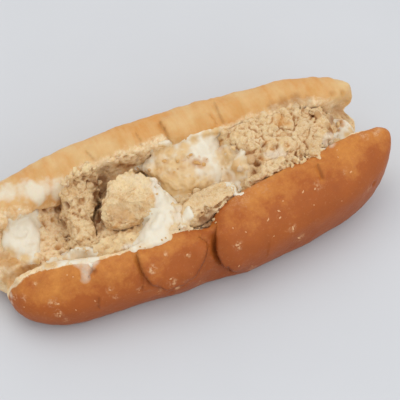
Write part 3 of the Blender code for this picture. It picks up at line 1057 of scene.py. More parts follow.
def fold_moves(points, normals, tree, folds):
    """How the folds move each point, and how much painted shade of a crease it gets."""
    moves = np.zeros_like(points)
    dark = np.zeros(len(points))
    back = np.array(camera_axes()[2])
    for pixels, rise, dip, side in folds:
        line = relaxed_line(line_points(tree, pixels, 0.7))
        away, which = nearest_of(points, line)
        ahead = np.gradient(line, axis=0)[which]
        leftward = np.cross(back, ahead)
        leftward *= side / (np.linalg.norm(leftward, axis=1)[:, None] + 1e-9)
        across = np.einsum("ij,ij->i", points - line[which], leftward)
        raised = across > 0
        end = FOLD_TAPER * len(line)
        fade = ramp(which, 0, end) * ramp(which, len(line) - 1, len(line) - 1 - end)
        fade *= ramp(away, FOLD_ZONE + FOLD_FADE, FOLD_ZONE)
        lip = np.sqrt(np.clip(1 - np.clip(1 - away / FOLD_LIP, 0, 1) ** 2, 0, 1))
        beyond = np.clip(away - FOLD_LIP, 0, None) / FOLD_FADE
        height = np.where(raised, rise * lip * np.exp(-beyond ** 2), -dip * np.exp(-((away / FOLD_DIP) ** 2)))
        lean = np.where(raised, FOLD_OVERHANG * rise * np.exp(-((away / FOLD_LIP) ** 2)), 0)
        moves += MM * fade[:, None] * (normals * height[:, None] - leftward * lean[:, None])
        shade = np.exp(-away / (np.where(raised, CREASE_RAISED, CREASE_SUNK + CREASE_WIDENS * rise) * MM))
        dark = np.maximum(dark, fade * shade * min(0.5 * dip, 1))
    return moves, dark


def relaxed_line(line, passes=3):
    """The line with its points evened out between its ends."""
    for _ in range(passes):
        line[1:-1] = 0.5 * line[1:-1] + 0.25 * (line[:-2] + line[2:])
    return line


def notch_moves(points):
    """How the blunt end of the pale half draws in under its tip, towards the left of the picture."""
    across, down = in_picture(points)
    depth = NOTCH_DEPTH * ramp(across, *NOTCH_ACROSS) * np.exp(-((down - NOTCH_DOWN) / NOTCH_HALF) ** 2)
    return -depth[:, None] * np.array(camera_axes()[0])


def near_folds(points, tree):
    """Whether each point lies near a fold of either half."""
    away = np.full(len(points), np.inf)
    for fold in FOLDS + FAR_FOLDS:
        away = np.minimum(away, nearest_of(points, line_points(tree, fold[0], 3))[0])
    return away < FOLD_ZONE


def crumb_relief(points, crumb, torn):
    """The crumb's unevenness in metres: soft hills, fine fibres, and pores where it is torn open."""
    around = warped(points, 2.5 * MM, 1.0 * MM, 1.0)
    depth = 1.8 * torn * pores(around, 4.2 * MM, 0.4, 8.0)
    depth += (0.3 + 0.8 * torn) * pores(around, 2.4 * MM, 0.5, 9.0)
    depth += 0.3 * pores(around, 1.3 * MM, 0.6, 10.0)
    hills = 0.8 * wave(points, 9 * MM, 4.0)
    hills += (0.3 + 0.7 * torn) * wave(around, np.array((2.5, 2, 6)) * MM, 5.0)
    return crumb * MM * (hills - depth)


def crust_relief(points, crust, far):
    """The crust's unevenness in metres: broad all over, with wrinkles that run across the pale half."""
    gathered = 0.3 + 0.5 * ramp(wave(points, 40 * MM, 12.0), -0.2, 0.6)
    return crust * MM * (waves(points, LEATHER) + far * gathered * waves(points, WRINKLES))


def refined_bread():
    """The roll, meshed finely where folds, cream and bare crumb show, with its tree and its edge lines."""
    bread = fused("roll", [SHELLS["bread"]], BREAD_VOXEL, 8)
    tree = piece_tree(bread)
    points = positions(bread.data)
    lines = edge_lines(points)
    inside = crumb_share(points, vertex_normals(bread.data), lines) > 0.2
    bare = (points[:, 0] < BARE_LEFT) | (points[:, 0] > BARE_RIGHT) | (points[:, 1] > BARE_FAR)
    coated = painted(bread, BREAD_MILKY, MILKY_SEED, 2) > 0
    refine(bread, near_folds(points, tree) | coated | inside & bare & (points[:, 2] > BARE_ABOVE))
    relax(bread, 3)
    return bread, tree, lines


def store_baking(bread, points, lines):
    """How far the brown crust is baked, more towards the table, and how golden the pale crust is."""
    ridge_z = np.interp(points[:, 0], lines[:, 0], lines[:, 2])
    baked = np.interp(points[:, 0] / MM, *np.array(BAKED).T)
    store(bread, "low", np.clip(1 - points[:, 2] / ridge_z, 0, 1) + baked)
    golden_middle = ramp(points[:, 0], -70 * MM, 40 * MM) - 0.9 * ramp(points[:, 0], 52 * MM, 74 * MM)
    store(bread, "gold", 0.3 + 0.4 * golden_middle + 0.5 * wave(points, 22 * MM, 11.0))


def build_bread():
    """The roll on its solid: folded, wrinkled crust, torn crumb between its edges, and films of cream."""
    bread, tree, lines = refined_bread()
    points = positions(bread.data)
    normals = vertex_normals(bread.data)
    crumb = crumb_share(points, normals, lines)
    crust = 1 - crumb
    far = ramp(points[:, 1], -2 * MM, 4 * MM)
    on_near = crust * (1 - far) * ramp(points[:, 2], 1 * MM, 4 * MM)
    near_moves, dark = fold_moves(points, normals, tree, FOLDS)
    # golden is painted shade along the creases of the pale half
    far_moves, golden = fold_moves(points, normals, tree, FAR_FOLDS)
    folds = near_moves * on_near[:, None] + (far_moves + notch_moves(points)) * far[:, None]
    milky = np.maximum(painted(bread, BREAD_MILKY, MILKY_SEED, 13), blots(points, tree, BREAD_PALE))
    torn = painted(bread, BREAD_TORN, 15.0)
    move = crust_relief(points, crust, far) + crumb_relief(points, crumb, torn) * (1 - 0.7 * milky)
    move += spots(points, tree, DENTS) + 0.5 * MM * milky
    free = ramp(points[:, 2], 0.4 * MM, 3 * MM)
    move_to(bread.data, points + (normals * move[:, None] + folds) * free[:, None])
    store_baking(bread, points, lines)
    store(bread, "crumb", crumb)
    store(bread, "far", far)
    # painted shade along the creases of the brown crust
    store(bread, "crease", on_near * dark)
    # painted shade in the crumb's hollows
    store(bread, "hollow_shade", hollows(bread.data, 8))
    # painted shade where the crumb is hidden from the sky
    store(bread, "deep", shelter(bread, crumb > 0.5))
    store(bread, "milky", milky)
    # toasted is toasted patches, and painted shade under the lip, in valleys and in the pale half's creases
    store(bread, "toasted", np.maximum(blots(points, tree, TOASTED_AND_SHADE), far * golden))
    # brown is painted shade in holes, valleys, pits and under the lip
    for name, patches in (("floury", FLOURY), ("brown", BROWN_SHADE)):
        store(bread, name, blots(points, tree, patches))
    finish_piece(bread, ("bread",), bread_material())
    return bread


# ---------------------------------------------------------------- halva

SMOOTH_GRAIN = ((7, 0.5), (3, 0.4), (1.5, 0.4), (0.8, 0.25))
LOOSE_GRAIN = ((8, 1.0), (4, 0.6), (1.8, 0.4), (0.9, 0.3))
MIXED_GRAIN = ((6, 0.8), (3, 0.5), (1.5, 0.4), (0.8, 0.25))
LUMP_SUNK = 0.4              # how deep a lump's middle lies under the surface, in radii

# Each node's look. The name and the seed are its piece's, voxel is how finely it is remeshed, and blend is
# how often it is relaxed after that. chips are how many are strewn, their radii in mm and their thinness.
# grain is for crumbs and flakes for broken plates, each pairs of length and height in mm. contrast is how
# much darker the painted shade in hollows is. faces are outlines of pixels that are pressed flat. lumps are
# on the node itself and ledges on whatever is seen there, each a pixel and a radius in pixels. swells, or
# pits if negative, are pixel, radius in pixels and height in mm. cracks are lines of pixels, width and depth
# in mm. toasted, brown and pale are pixel, radius in pixels and strength: toasted is toasted patches, with
# painted shade in the hollow at the blunt end, brown is mostly painted shade in holes, pockets and cracks,
# and pale is painted light on lit tops and fronts. milky are outlines of pixels and strength.
HALVA = {
    "halva_chunk": {
        "name": "large_piece", "voxel": 0.36 * MM, "seed": 11, "chips": (40, 0.5, 1.6, 0.8),
        "grain": SMOOTH_GRAIN, "flakes": ((4, 0.8), (1.8, 0.45)), "blend": 3, "contrast": 1.0,
        "faces": (
            ((114, 174), (130, 174), (147, 177), (157, 188), (153, 198), (130, 200), (109, 196),
             (111, 184)),
            ((108, 200), (130, 203), (152, 202), (146, 214), (138, 221), (118, 225), (104, 222),
             (100, 210)),
        ),
        "lumps": (
            (122, 175, 4), (111, 184, 5), (110, 189, 5), (104, 202, 5), (104, 220, 5), (116, 223, 5),
            (140, 175, 4), (131, 174, 4), (152, 181, 4),
        ),
        "ledges": (),
        "swells": (
            (150, 188, 5, 0.4), (118, 208, 5, -0.8), (136, 208, 5, -0.8), (110, 200, 4, -0.6),
            (126, 187, 9, -0.9), (142, 190, 8, -0.6), (128, 218, 7, 0.7), (108, 216, 5, 0.5),
            (144, 212, 5, -0.6),
        ),
        "cracks": (
            (((146, 173), (156, 178), (166, 188)), 0.5, 1.0),
            (((108, 194), (103, 202), (99, 210)), 0.6, 0.8),
            (((108, 197), (118, 197), (126, 200)), 0.9, 0.5),
            (((128, 196), (140, 191), (152, 194)), 0.4, 0.4),
        ),
        "toasted": (
            (120, 216, 8, 0.35), (153, 196, 5, 0.6), (130, 217, 5, 0.5), (117, 226, 4, 0.8),
            (138, 222, 4, 0.5), (120, 200, 3, 0.4), (134, 205, 5, 0.35), (146, 204, 5, 0.4),
            (114, 228, 3, 0.9), (125, 214, 6, 0.5), (133, 225, 4, 0.6), (112, 210, 6, 0.3),
            (142, 210, 5, 0.3),
        ),
        "brown": ((127, 229, 4, 0.5), (138, 225, 3, 0.7), (101, 204, 2, 0.5)),
        "pale": (
            (122, 182, 12, 0.5), (142, 184, 12, 0.5), (114, 204, 8, 0.3), (134, 206, 8, 0.4),
            (102, 214, 7, 0.7),
        ),
        "milky": (
            (((151, 177), (160, 180), (167, 190), (169, 204), (162, 214), (155, 206), (154, 190)), 0.9),
            (((118, 173), (142, 174), (158, 184), (158, 194), (142, 186), (126, 182)), 0.3),
        ),
    },
    "halva_slab": {
        "name": "flat_piece", "voxel": 0.38 * MM, "seed": 12, "chips": (40, 0.5, 1.6, 0.8),
        "grain": SMOOTH_GRAIN, "flakes": ((4, 0.3), (1.8, 0.2)), "blend": 3, "contrast": 1.0,
        "faces": (
            ((184, 205), (196, 198), (212, 192), (227, 190), (231, 195), (218, 204), (202, 209),
             (190, 209)),
        ),
        "lumps": ((196, 198, 7), (208, 196, 7), (220, 191, 6), (230, 190, 5)),
        "ledges": (
            (228, 200, 5), (222, 205, 5), (235, 195, 4), (217, 209, 4), (215, 215, 4), (214, 221, 4),
        ),
        "swells": ((205, 212, 5, -3.0), (203, 220, 6, -3.5), (212, 222, 5, -3.0), (212, 212, 4, -1.2)),
        "cracks": (
            (((228, 198), (221, 203), (214, 209)), 0.5, 1.6),
            (((197, 210), (206, 206), (213, 209)), 0.5, 1.2),
        ),
        "toasted": ((203, 214, 6, 0.6), (214, 203, 4, 0.3), (198, 204, 3, 0.4)),
        "brown": (
            (206, 198, 16, 0.06), (205, 222, 7, 0.8), (211, 214, 5, 0.6), (199, 216, 3, 0.7),
            (213, 222, 4, 0.6),
        ),
        "pale": (),
        "milky": ((((176, 196), (184, 192), (184, 200), (178, 204)), 0.5),),
    },
    "halva_crumble": {
        "name": "crumbled_heap", "voxel": 0.42 * MM, "seed": 13, "chips": (50, 1.0, 2.4, 0.6),
        "grain": LOOSE_GRAIN, "flakes": ((9, 2.2), (4, 1.0), (1.8, 0.4)), "blend": 8, "contrast": 1.7,
        "faces": (
            ((234, 134), (248, 128), (264, 130), (282, 138), (284, 146), (262, 148), (244, 150),
             (232, 146)),
            ((296, 112), (312, 110), (322, 120), (328, 134), (322, 150), (306, 158), (296, 146),
             (292, 128)),
        ),
        "lumps": (
            (236, 133, 6), (244, 141, 8), (251, 134, 7), (262, 133, 8), (273, 134, 8), (284, 138, 6),
            (262, 122, 6), (296, 116, 6), (305, 124, 8), (314, 118, 6), (318, 131, 7), (300, 134, 7),
            (316, 145, 9), (325, 140, 7), (300, 148, 5), (299, 158, 5), (309, 156, 6), (320, 154, 6),
            (288, 158, 5), (279, 162, 5), (330, 128, 5), (232, 168, 7), (240, 160, 7),
        ),
        "ledges": (
            (248, 184, 4), (256, 181, 4), (263, 178, 4), (270, 174, 4), (277, 170, 4), (284, 167, 4),
            (291, 165, 4), (250, 180, 6), (258, 176, 6), (266, 171, 6), (274, 168, 6), (282, 164, 6),
            (290, 161, 6), (298, 161, 6), (306, 159, 6), (314, 155, 5), (322, 149, 5), (327, 145, 4),
            (226, 133, 4), (232, 130, 4), (238, 127, 4), (244, 125, 4), (249, 122, 4), (254, 120, 3),
            (262, 117, 4), (275, 113, 3), (284, 111, 4), (296, 108, 4), (308, 107, 4), (240, 186, 4),
            (221, 140, 4), (222, 149, 4), (222, 158, 4), (224, 167, 4), (228, 132, 4), (319, 110, 4),
            (325, 116, 4),
        ),
        "swells": (
            (257, 163, 5, -2.6), (261, 158, 4, -1.6), (275, 148, 6, -1.4), (287, 146, 5, -1.0),
            (283, 121, 7, -1.0), (268, 155, 6, -1.0), (254, 170, 5, -1.6), (326, 150, 4, -0.8),
            (334, 130, 4, -1.4), (244, 140, 8, 1.4), (268, 130, 8, 1.2), (305, 122, 8, 1.2),
            (318, 138, 9, 1.4), (296, 134, 7, 1.0), (236, 152, 9, -1.4), (230, 164, 9, -1.0),
            (244, 172, 8, -1.0),
        ),
        "cracks": (
            (((231, 149), (240, 153), (252, 152), (258, 147)), 0.9, 2.2),
            (((296, 151), (297, 158), (299, 165)), 0.6, 2.4),
            (((305, 140), (308, 148), (306, 154), (310, 160)), 0.6, 2.6),
            (((276, 124), (284, 128), (291, 128)), 0.6, 1.6),
            (((311, 112), (316, 118), (314, 124)), 0.5, 1.6),
            (((286, 160), (290, 168)), 0.5, 1.8),
            (((262, 136), (266, 142), (261, 148)), 0.6, 1.6),
            (((250, 127), (257, 131), (262, 129)), 0.6, 1.6),
            (((290, 112), (296, 122), (293, 130)), 0.6, 1.4),
        ),
        "toasted": (
            (280, 120, 8, 0.8), (288, 123, 5, 0.8), (272, 150, 5, 0.3), (257, 163, 6, 0.5),
            (318, 115, 4, 0.6), (301, 166, 3, 0.8), (296, 160, 3, 0.6), (287, 146, 5, 0.4),
            (236, 134, 4, 0.4), (266, 143, 4, 0.5), (221, 144, 6, 0.8), (222, 155, 5, 0.6),
            (240, 166, 6, 0.4), (226, 164, 5, 0.3), (331, 128, 7, 1.0), (331, 134, 5, 1.0),
            (250, 158, 8, 0.4), (262, 160, 7, 0.4),
        ),
        "brown": (
            (258, 164, 4, 0.7), (264, 146, 4, 0.6), (307, 150, 2, 0.8), (297, 160, 2, 0.9),
            (281, 127, 3, 0.6), (276, 146, 4, 0.4), (290, 165, 2, 0.7), (280, 168, 2, 0.6),
            (300, 112, 3, 0.4), (330, 121, 7, 0.8), (330, 130, 7, 0.8), (254, 161, 7, 0.5),
            (262, 152, 5, 0.35), (296, 106, 5, 0.3), (232, 158, 6, 0.25), (242, 174, 8, 0.3),
            (254, 172, 6, 0.4), (272, 156, 5, 0.3), (246, 148, 5, 0.3), (318, 114, 4, 0.4),
            (304, 128, 14, 0.1), (312, 144, 13, 0.14),
        ),
        "pale": ((240, 136, 8, 0.3), (268, 132, 8, 0.2), (284, 164, 6, 0.3)),
        "milky": (
            (((216, 150), (228, 146), (244, 154), (250, 166), (246, 178), (232, 182), (220, 170)), 0.5),
            (((262, 152), (278, 148), (291, 151), (286, 159), (266, 159)), 0.5),
            (((321, 138), (328, 132), (333, 139), (329, 149), (321, 148)), 0.6),
        ),
    },
    "halva_column": {
        "name": "crumbled_stretch", "voxel": 0.38 * MM, "seed": 14, "chips": (90, 0.8, 2.6, 0.7),
        "grain": MIXED_GRAIN, "flakes": ((5, 1.5), (2.2, 0.7)), "blend": 5, "contrast": 1.1, "faces": (),
        "lumps": (
            (84, 182, 6), (76, 194, 6), (88, 194, 6), (73, 206, 5), (82, 212, 6), (91, 208, 5),
            (88, 223, 6), (76, 226, 6), (87, 234, 6), (92, 243, 5), (78, 241, 5),
        ),
        "ledges": (
            (80, 248, 5), (88, 250, 5), (72, 242, 6), (69, 234, 4), (70, 224, 5), (71, 215, 4),
            (69, 197, 4), (68, 186, 5), (70, 178, 4), (76, 170, 5), (86, 168, 5), (95, 167, 4),
            (79, 174, 5), (88, 173, 5), (95, 174, 4), (96, 250, 5), (98, 242, 5), (75, 252, 5),
            (64, 240, 5), (64, 183, 5), (75, 183, 5), (80, 180, 5), (86, 177, 5), (92, 175, 5),
            (63, 192, 5), (64, 214, 6), (63, 223, 6), (64, 232, 6), (66, 246, 5),
        ),
        "swells": (
            (78, 179, 3, -1.4), (88, 182, 3, -1.4), (67, 206, 4, -2.4), (82, 202, 5, -1.0),
            (95, 196, 8, -1.4), (96, 210, 7, -1.4), (73, 203, 5, 1.0), (84, 214, 5, 0.8),
        ),
        "cracks": (
            (((73, 213), (77, 216), (80, 208)), 0.6, 1.6),
            (((88, 239), (92, 242), (95, 240)), 0.5, 1.6),
        ),
        "toasted": ((74, 193, 4, 0.5), (90, 206, 4, 0.3), (78, 228, 4, 0.3)),
        "brown": (
            (95, 196, 8, 0.9), (100, 195, 7, 1.0), (96, 208, 8, 0.9), (95, 184, 7, 0.8), (78, 179, 2, 0.8),
            (66, 205, 4, 0.7), (88, 182, 2, 0.8),
        ),
        "pale": (
            (76, 169, 6, 0.6), (86, 167, 7, 0.7), (94, 167, 5, 0.5), (76, 190, 6, 0.3), (84, 226, 7, 0.4),
        ),
        "milky": (),
    },
    "halva_bed": {
        "name": "crushed_bed", "voxel": 0.56 * MM, "seed": 15, "chips": (420, 0.7, 2.6, 0.5),
        "grain": MIXED_GRAIN, "flakes": ((4.5, 1.0), (2, 0.5)), "blend": 4, "contrast": 0.9, "faces": (),
        "lumps": (
            (112, 240, 5), (122, 236, 5), (132, 234, 6), (142, 236, 5), (104, 246, 5), (118, 249, 5),
            (130, 246, 5), (142, 246, 5), (96, 252, 5), (108, 256, 5), (152, 246, 5), (152, 236, 5),
        ),
        "ledges": (
            (100, 252, 5), (110, 252, 5), (120, 250, 5), (180, 208, 5), (174, 206, 4), (178, 218, 5),
            (184, 226, 5), (192, 222, 4), (106, 242, 6), (116, 241, 6), (126, 239, 6), (136, 236, 6),
            (112, 248, 5), (124, 247, 5), (134, 244, 5), (104, 233, 5), (110, 231, 4), (118, 232, 4),
            (127, 231, 4), (136, 228, 4), (143, 224, 4), (180, 229, 5), (190, 228, 4), (174, 226, 5),
            (172, 214, 4),
        ),
        "swells": (
            (98, 215, 6, -3.0), (117, 231, 4, -1.5), (97, 242, 3, -1.2), (148, 249, 3, -1.2),
            (99, 204, 7, -5.0), (101, 220, 6, -4.0), (207, 222, 6, -3.0),
        ),
        "cracks": ((((94, 243), (97, 239), (99, 236)), 0.6, 1.4),),
        "toasted": (
            (115, 242, 6, 0.4), (108, 240, 4, 0.4), (102, 250, 4, 0.3), (118, 230, 4, 0.7),
            (130, 229, 4, 0.6), (110, 229, 3, 0.8), (126, 238, 5, 0.3), (182, 206, 4, 0.3),
            (172, 220, 4, 0.3),
        ),
        "brown": (
            (99, 228, 6, 0.7), (98, 205, 9, 0.9), (148, 249, 2, 0.8), (207, 224, 6, 0.8),
            (100, 212, 8, 1.0), (98, 219, 7, 1.0), (97, 225, 5, 0.9),
        ),
        "pale": (
            (106, 240, 8, 0.7), (118, 240, 9, 0.8), (130, 238, 9, 0.8), (112, 250, 8, 0.6),
            (94, 248, 7, 0.5), (140, 234, 6, 0.6), (182, 222, 6, 0.3),
        ),
        "milky": (
            (((122, 246), (136, 244), (137, 252), (124, 253)), 0.8),
            (((166, 206), (182, 204), (190, 222), (172, 226)), 0.6),
            (((160, 236), (180, 226), (200, 226), (212, 224), (198, 234), (176, 240)), 0.5),
        ),
    },
}


def build_halva(node, material):
    """Broken halva on its node's solid: lumps at their pixels, strewn chips, grain, pits and cracks."""
    look = HALVA[node]
    seed = look["seed"]
    shell = SHELLS[node]
    shells = [shell] + lumps_at(tree_of([shell]), look["lumps"], LUMP_SUNK, seed)
    shells += lumps_at(SOLIDS, look["ledges"], LUMP_SUNK, seed + 1)
    shells += scattered(shell, *look["chips"], seed)
    piece = fused(look["name"], shells, look["voxel"], look["blend"])
    drop_scraps(piece)
    flatten(piece, look["faces"])
    tree = piece_tree(piece)
    points = positions(piece.data)
    milky = painted(piece, look["milky"], seed)
    around = warped(points, 3 * MM, 0.8 * MM, seed)
    rough = 0.5 + 0.6 * ramp(wave(points, 11 * MM, seed + 6), -0.4, 0.5)
    relief = rough * billows(around, look["grain"], seed) + flakes(points, look["flakes"], seed)
    relief += spots(points, tree, look["swells"]) - grooves(points, tree, look["cracks"])
    push(piece, relief * (1 - 0.6 * milky) + 0.3 * MM * milky)
    upward = vertex_normals(piece.data)[:, 2] > -0.3
    # painted shade in hollows, stronger by the contrast
    store(piece, "hollow_shade", look["contrast"] * (hollows(piece.data, 10) + 0.3 * hollows(piece.data, 40)))
    # painted shade in narrow clefts, from the sky that nearby halva hides
    store(piece, "cleft_shade", shelter(piece, upward, piece_tree(piece), 5 * MM, 0.15 * MM, 2))
    # painted shade where the sky is hidden
    store(piece, "deep", shelter(piece, upward))
    # toasted also holds painted shade in the hollow at the blunt end, brown is mostly painted shade, pale is
    # painted light
    for name in ("toasted", "brown", "pale"):
        store(piece, name, blots(points, tree, look[name]))
    store(piece, "milky", milky)
    finish_piece(piece, (node,), material)
    return piece


# ---------------------------------------------------------------- cream

# Each node's cream. The name and the seed are its piece's. strands are pixels, radii along the strand in mm
# and lift above the surface in mm. pools lie on whatever is under them: an outline of pixels and the
# thickness in mm.
CREAM = {
    "cream_middle": {
        "name": "cream_beside_piece", "seed": 16.0,
        "strands": (
            (((159, 186), (163, 196), (164, 208), (160, 220), (154, 230)), (0.8, 1.1, 1.6, 2.2, 2.6), 0.2),
            (((140, 244), (152, 243), (163, 239), (171, 234)), (1.2, 1.6, 1.6, 1.2), -0.4),
        ),
        "pools": (
            (((155, 180), (164, 183), (170, 198), (174, 212), (179, 228), (172, 238), (158, 244),
              (144, 249), (132, 251), (126, 248), (134, 242), (139, 230), (142, 220), (148, 211),
              (156, 204), (157, 192)), 0.9),
        ),
    },
    "cream_far": {
        "name": "cream_along_wall", "seed": 18.0,
        "strands": (
            (((199, 140), (208, 148), (210, 158), (216, 168), (226, 178)), (2.0, 2.8, 2.4, 2.2, 1.6), -0.8),
            (((150, 166), (160, 172), (172, 182), (186, 186), (200, 180)), (2.0, 2.6, 3.0, 3.0, 2.4), -1.2),
            (((146, 159), (160, 155), (174, 151), (188, 144), (203, 137), (216, 133)),
              (1.2, 2.0, 2.2, 1.4), -1.4),
            (((136, 169), (143, 167), (150, 170), (157, 178)), (1.4, 2.4, 2.4, 1.6), 0.3),
            (((216, 140), (215, 152), (218, 164), (226, 178), (234, 184)), (1.6, 2.2, 2.2, 1.4), -0.8),
            (((174, 156), (178, 160), (184, 164)), (1.2, 1.6, 1.4), 0.2),
            (((192, 150), (196, 157), (202, 162)), (1.4, 1.8, 1.2), 0.4),
        ),
        "pools": (
            (((188, 140), (206, 132), (219, 136), (221, 152), (217, 164), (230, 178), (216, 180),
              (204, 187), (190, 195), (176, 198), (166, 192), (158, 180), (146, 174), (148, 162),
              (164, 154), (176, 150)), 0.8),
            (((150, 164), (152, 152), (160, 146), (176, 142), (190, 138), (204, 130), (222, 128),
              (224, 140), (206, 146), (190, 152), (170, 160)), 0.3),
        ),
    },
    "cream_end": {
        "name": "cream_streak", "seed": 20.0,
        "strands": ((((333, 137), (339, 132), (346, 127)), (1.0, 1.4, 1.0), 0.0),),
        "pools": ((((330, 140), (335, 132), (345, 125), (347, 129), (340, 137), (332, 144)), 0.3),),
    },
    "cream_left": {
        "name": "cream_patch", "seed": 22.0,
        "strands": (
            (((12, 217), (22, 213), (35, 212)), (1.6, 1.6), 0.0),
            (((35, 212), (37, 226), (37, 244), (36, 260)), (1.6, 1.6), 0.0),
            (((36, 260), (26, 260), (12, 255)), (1.8, 1.8), -0.4),
            (((12, 217), (6, 230), (5, 244), (12, 255)), (1.8, 1.8), -0.6),
        ),
        "pools": (
            (((2, 232), (8, 218), (22, 210), (38, 210), (42, 228), (41, 252), (38, 262), (24, 262),
              (6, 254)), 0.8),
        ),
    },
}

# Thicker smears that run over from one piece to the next
SMEARS = (
    (((221, 179), (232, 180), (242, 187), (250, 194), (242, 199), (230, 193)), 0.5),
    (((181, 224), (182, 213), (188, 207), (193, 214), (193, 225), (187, 227)), 0.6),
    (((38, 268), (52, 257), (68, 251), (84, 248), (100, 251), (101, 262), (92, 267), (78, 265), (60, 268),
      (46, 274)), 0.5),
    (((212, 152), (224, 144), (242, 150), (250, 162), (246, 180), (230, 184), (216, 172)), 0.7),
    (((164, 240), (176, 229), (190, 225), (199, 224), (198, 228), (188, 231), (176, 235)), 0.4),
)
# Swells of the cream, or pits if negative: pixel, radius in pixels, height in mm
CREAM_SWELLS = (
    (183, 158, 4, -1.2), (172, 166, 8, 1.0), (186, 178, 9, 1.2), (162, 178, 6, 0.8), (176, 188, 7, 0.8),
    (202, 178, 7, -0.8), (192, 166, 6, -1.0), (206, 150, 6, 0.8), (168, 158, 5, -0.8), (155, 166, 5, -0.6),
    (196, 192, 5, -1.2), (160, 216, 6, 0.5), (148, 236, 6, 0.5), (20, 232, 9, -1.2), (30, 246, 7, -0.8),
    (336, 121, 7, -2.4), (349, 126, 5, -1.2),
)
# Where halva is mixed into the cream; and toasted patches, with painted shade in the hollow at the blunt end:
# pixel, radius in pixels, strength
BEIGE = (
    (160, 172, 16, 1.0), (172, 182, 20, 1.0), (190, 186, 20, 1.0), (176, 163, 13, 1.0), (206, 186, 13, 0.9),
    (185, 170, 12, 0.9), (160, 160, 10, 0.9), (224, 168, 8, 0.5), (174, 232, 9, 0.7), (178, 216, 8, 0.8),
    (146, 250, 10, 0.5), (206, 168, 8, 0.5), (182, 154, 9, 0.9), (170, 152, 9, 1.0), (160, 150, 9, 1.0),
    (184, 146, 7, 1.0), (194, 139, 6, 0.9), (206, 134, 6, 0.9), (216, 131, 7, 1.0), (222, 140, 5, 0.9),
    (130, 252, 6, 0.4), (165, 243, 6, 0.4), (10, 254, 9, 0.9), (24, 260, 8, 1.0), (2, 228, 8, 0.8),
    (38, 262, 6, 1.0), (14, 214, 7, 0.6), (332, 124, 6, 0.9), (352, 130, 6, 1.0), (348, 135, 5, 0.9),
    (190, 230, 10, 0.8), (172, 240, 6, 0.7), (228, 160, 14, 0.8), (238, 172, 12, 0.8), (50, 264, 9, 1.0),
    (62, 260, 7, 0.8), (74, 256, 5, 0.5), (84, 262, 5, 0.3), (226, 154, 12, 1.0), (236, 168, 14, 1.0),
    (232, 148, 10, 1.0), (246, 164, 9, 0.9), (228, 178, 8, 0.7), (216, 160, 5, 0.5),
)
CREAM_TOASTED = (
    (200, 165, 5, 0.8), (196, 162, 5, 0.8), (205, 161, 4, 0.7), (192, 156, 3, 0.5), (165, 161, 4, 0.6),
    (184, 160, 4, 0.5), (160, 170, 5, 0.3), (183, 168, 4, 0.35), (172, 175, 5, 0.3), (199, 157, 2, 0.5),
    (190, 160, 4, 0.4), (334, 125, 6, 1.0), (340, 121, 5, 1.0), (334, 131, 3, 0.9), (342, 125, 4, 0.9),
    (338, 130, 3, 0.9), (52, 264, 7, 0.3), (64, 260, 5, 0.25), (80, 262, 5, 0.15), (221, 148, 5, 0.5),
    (236, 166, 7, 0.3), (230, 178, 6, 0.3), (174, 226, 5, 0.2),
)
CREAM_VOXEL = 0.5 * MM
SMEAR_VOXEL = 0.4 * MM


def finish_cream(piece, nodes, seed, material):
    """Let the cream flow in soft swells, grainy where halva is mixed into it."""
    drop_scraps(piece)
    points = positions(piece.data)
    tree = piece_tree(piece)
    beige = blots(points, tree, BEIGE)
    grainy = billows(warped(points, 3 * MM, 0.8 * MM, seed), ((6, 1.2), (3, 0.7), (1.5, 0.3)), seed)
    flowing = MM * waves(points, ((6, 0.5, seed), (2.6, 0.15, seed + 1)))
    push(piece, flowing + beige * grainy + spots(points, tree, CREAM_SWELLS))
    store(piece, "beige", beige)
    store(piece, "toasted", blots(points, tree, CREAM_TOASTED))
    finish_piece(piece, nodes, material)
    return piece


def build_cream(node, material):
    """Thick cream on its node's solid, drawn out into strands and pools over what is beside it."""
    look = CREAM[node]
    shells = [SHELLS[node]]
    for pixels, radii, lift in look["strands"]:
        shells += strand(SOLIDS, pixels, radii, lift)
    for outline, thickness in look["pools"]:
        shells += film(SOLIDS, outline, thickness)
    return finish_cream(fused(look["name"], shells, CREAM_VOXEL, 16), (node,), look["seed"], material)


def build_smears(tree, material):
    """Cream that runs over from one piece to the next."""
    shells = []
    for outline, thickness in SMEARS:
        shells += film(tree, outline, thickness)
    return finish_cream(fused("cream_smears", shells, SMEAR_VOXEL, 24), (), 24.0, material)


# ---------------------------------------------------------------- what is strewn on top

# Flour-pale flecks of the brown crust, and bits in the cream: pixel, and length or radius in pixels
FLECKS = (
    (303, 192, 4), (315, 189, 3), (279, 211, 4), (280, 218, 4), (268, 220, 4), (293, 228, 5), (314, 205, 2),
    (274, 236, 2), (283, 201, 2), (351, 172, 4), (299, 238, 6), (238, 245, 4), (342, 201, 2), (246, 232, 2),
    (233, 228, 2), (252, 266, 2), (239, 266, 3), (284, 258, 2), (307, 243, 2), (35, 284, 3), (58, 304, 4),
    (60, 316, 4), (76, 310, 2), (110, 290, 3), (115, 298, 2), (95, 301, 3), (139, 290, 2), (151, 270, 4),
    (165, 255, 3), (187, 255, 3), (171, 279, 3), (24, 307, 2), (14, 297, 3), (200, 281, 2), (67, 275, 2),
    (73, 277, 2), (337, 150, 2), (338, 157, 2),
)
TOASTED_BITS = (
    (165, 161, 2.4), (178, 161, 1.6), (197, 163, 2.6), (204, 164, 2.2), (191, 155, 1.8), (174, 172, 1.4),
    (140, 247, 0.9), (145, 248, 0.9), (162, 240, 1.0), (166, 238, 1.0),
)
BIT_SUNK = 0.3               # how deep a bit's middle lies under the cream, in radii
LOOSE_COUNT = 70
LOOSE_RADII = (0.3, 0.8)     # in mm
LOOSE_STEEPEST = 0.2         # crumbs lie only on what faces up more than this
LOOSE_VOXEL = 0.22 * MM
LOOSE_HOLLOW = 0.3           # a crumb's shading, the same all over
# the same for its painted shade of clefts
LOOSE_CLEFT = 0.4
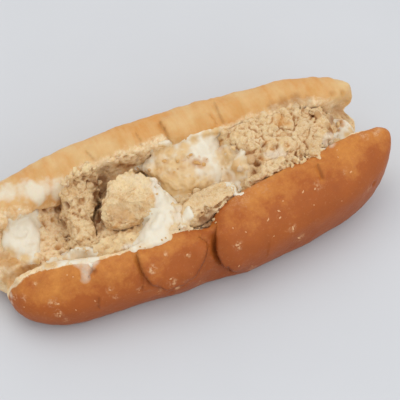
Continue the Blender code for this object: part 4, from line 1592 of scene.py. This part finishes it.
# Where the opening shows in the picture
OPENING = (
    (66, 206), (74, 176), (105, 164), (150, 166), (232, 126), (300, 106), (324, 120), (330, 140),
    (262, 176), (216, 232), (176, 236), (88, 254), (60, 240),
)


def build_flecks(tree):
    """Pale flecks that lie flat in the brown crust."""
    random = np.random.default_rng(31)
    shells = []
    for x, y, length in FLECKS:
        point, normal = sight(tree, (x, y))
        if point is None:
            continue
        along = normal.cross(Vector(random.normal(size=3))).normalized()
        axes = np.array((along, normal.cross(along), normal))
        size = PIXEL * np.array((0.5 * length, 0.12 * length + 0.35, 0.5))
        body = BALL_POINTS * (1 + 0.5 * wave(BALL_POINTS, 0.6, x)[:, None]) * size @ axes
        shells.append((np.array(point - normal * 0.6 * size[2]) + body, BALL_FACES))
    piece = new_piece("flecks", *joined(shells))
    finish_piece(piece, (), fleck_material())
    return piece


def build_bits(tree):
    """Golden and dark bits in the cream."""
    piece = new_piece("toasted_bits", *joined(lumps_at(tree, TOASTED_BITS, BIT_SUNK, 33)))
    finish_piece(piece, (), toasted_material())
    return piece


def build_loose(tree, material):
    """Loose crumbs of halva, strewn wherever the opening shows in the picture."""
    random = np.random.default_rng(35)
    pixels = covered(OPENING, 1.0)
    centres = []
    radii = []
    for x, y in pixels[random.choice(len(pixels), LOOSE_COUNT)]:
        point, normal = sight(tree, (x, y))
        if point is not None and normal.z > LOOSE_STEEPEST:
            centres.append(np.array(point))
            radii.append(random.uniform(*LOOSE_RADII) * MM)
    piece = fused("loose_crumbs", chips(centres, radii, 37), LOOSE_VOXEL, 1)
    count = len(piece.data.vertices)
    for name in ("deep", "brown", "milky", "toasted", "pale"):
        store(piece, name, np.zeros(count))
    store(piece, "hollow_shade", np.full(count, LOOSE_HOLLOW))
    store(piece, "cleft_shade", np.full(count, LOOSE_CLEFT))
    finish_piece(piece, (), material)
    return piece


def write_sizes():
    """Work out the corners of the box of the solids and of the box with the pieces."""
    boxes = [[list(corner) for corner in box] for box in (CAD_BOX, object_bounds())]


add_camera()
add_studio()
halva = halva_material()
cream = cream_material()
pieces = [build_bread()]
pieces += [build_halva(node, halva) for node in HALVA]
pieces += [build_cream(node, cream) for node in CREAM]
surfaces = piece_tree(*pieces)
build_smears(surfaces, cream)
build_flecks(surfaces)
build_bits(surfaces)
build_loose(surfaces, halva)
write_sizes()
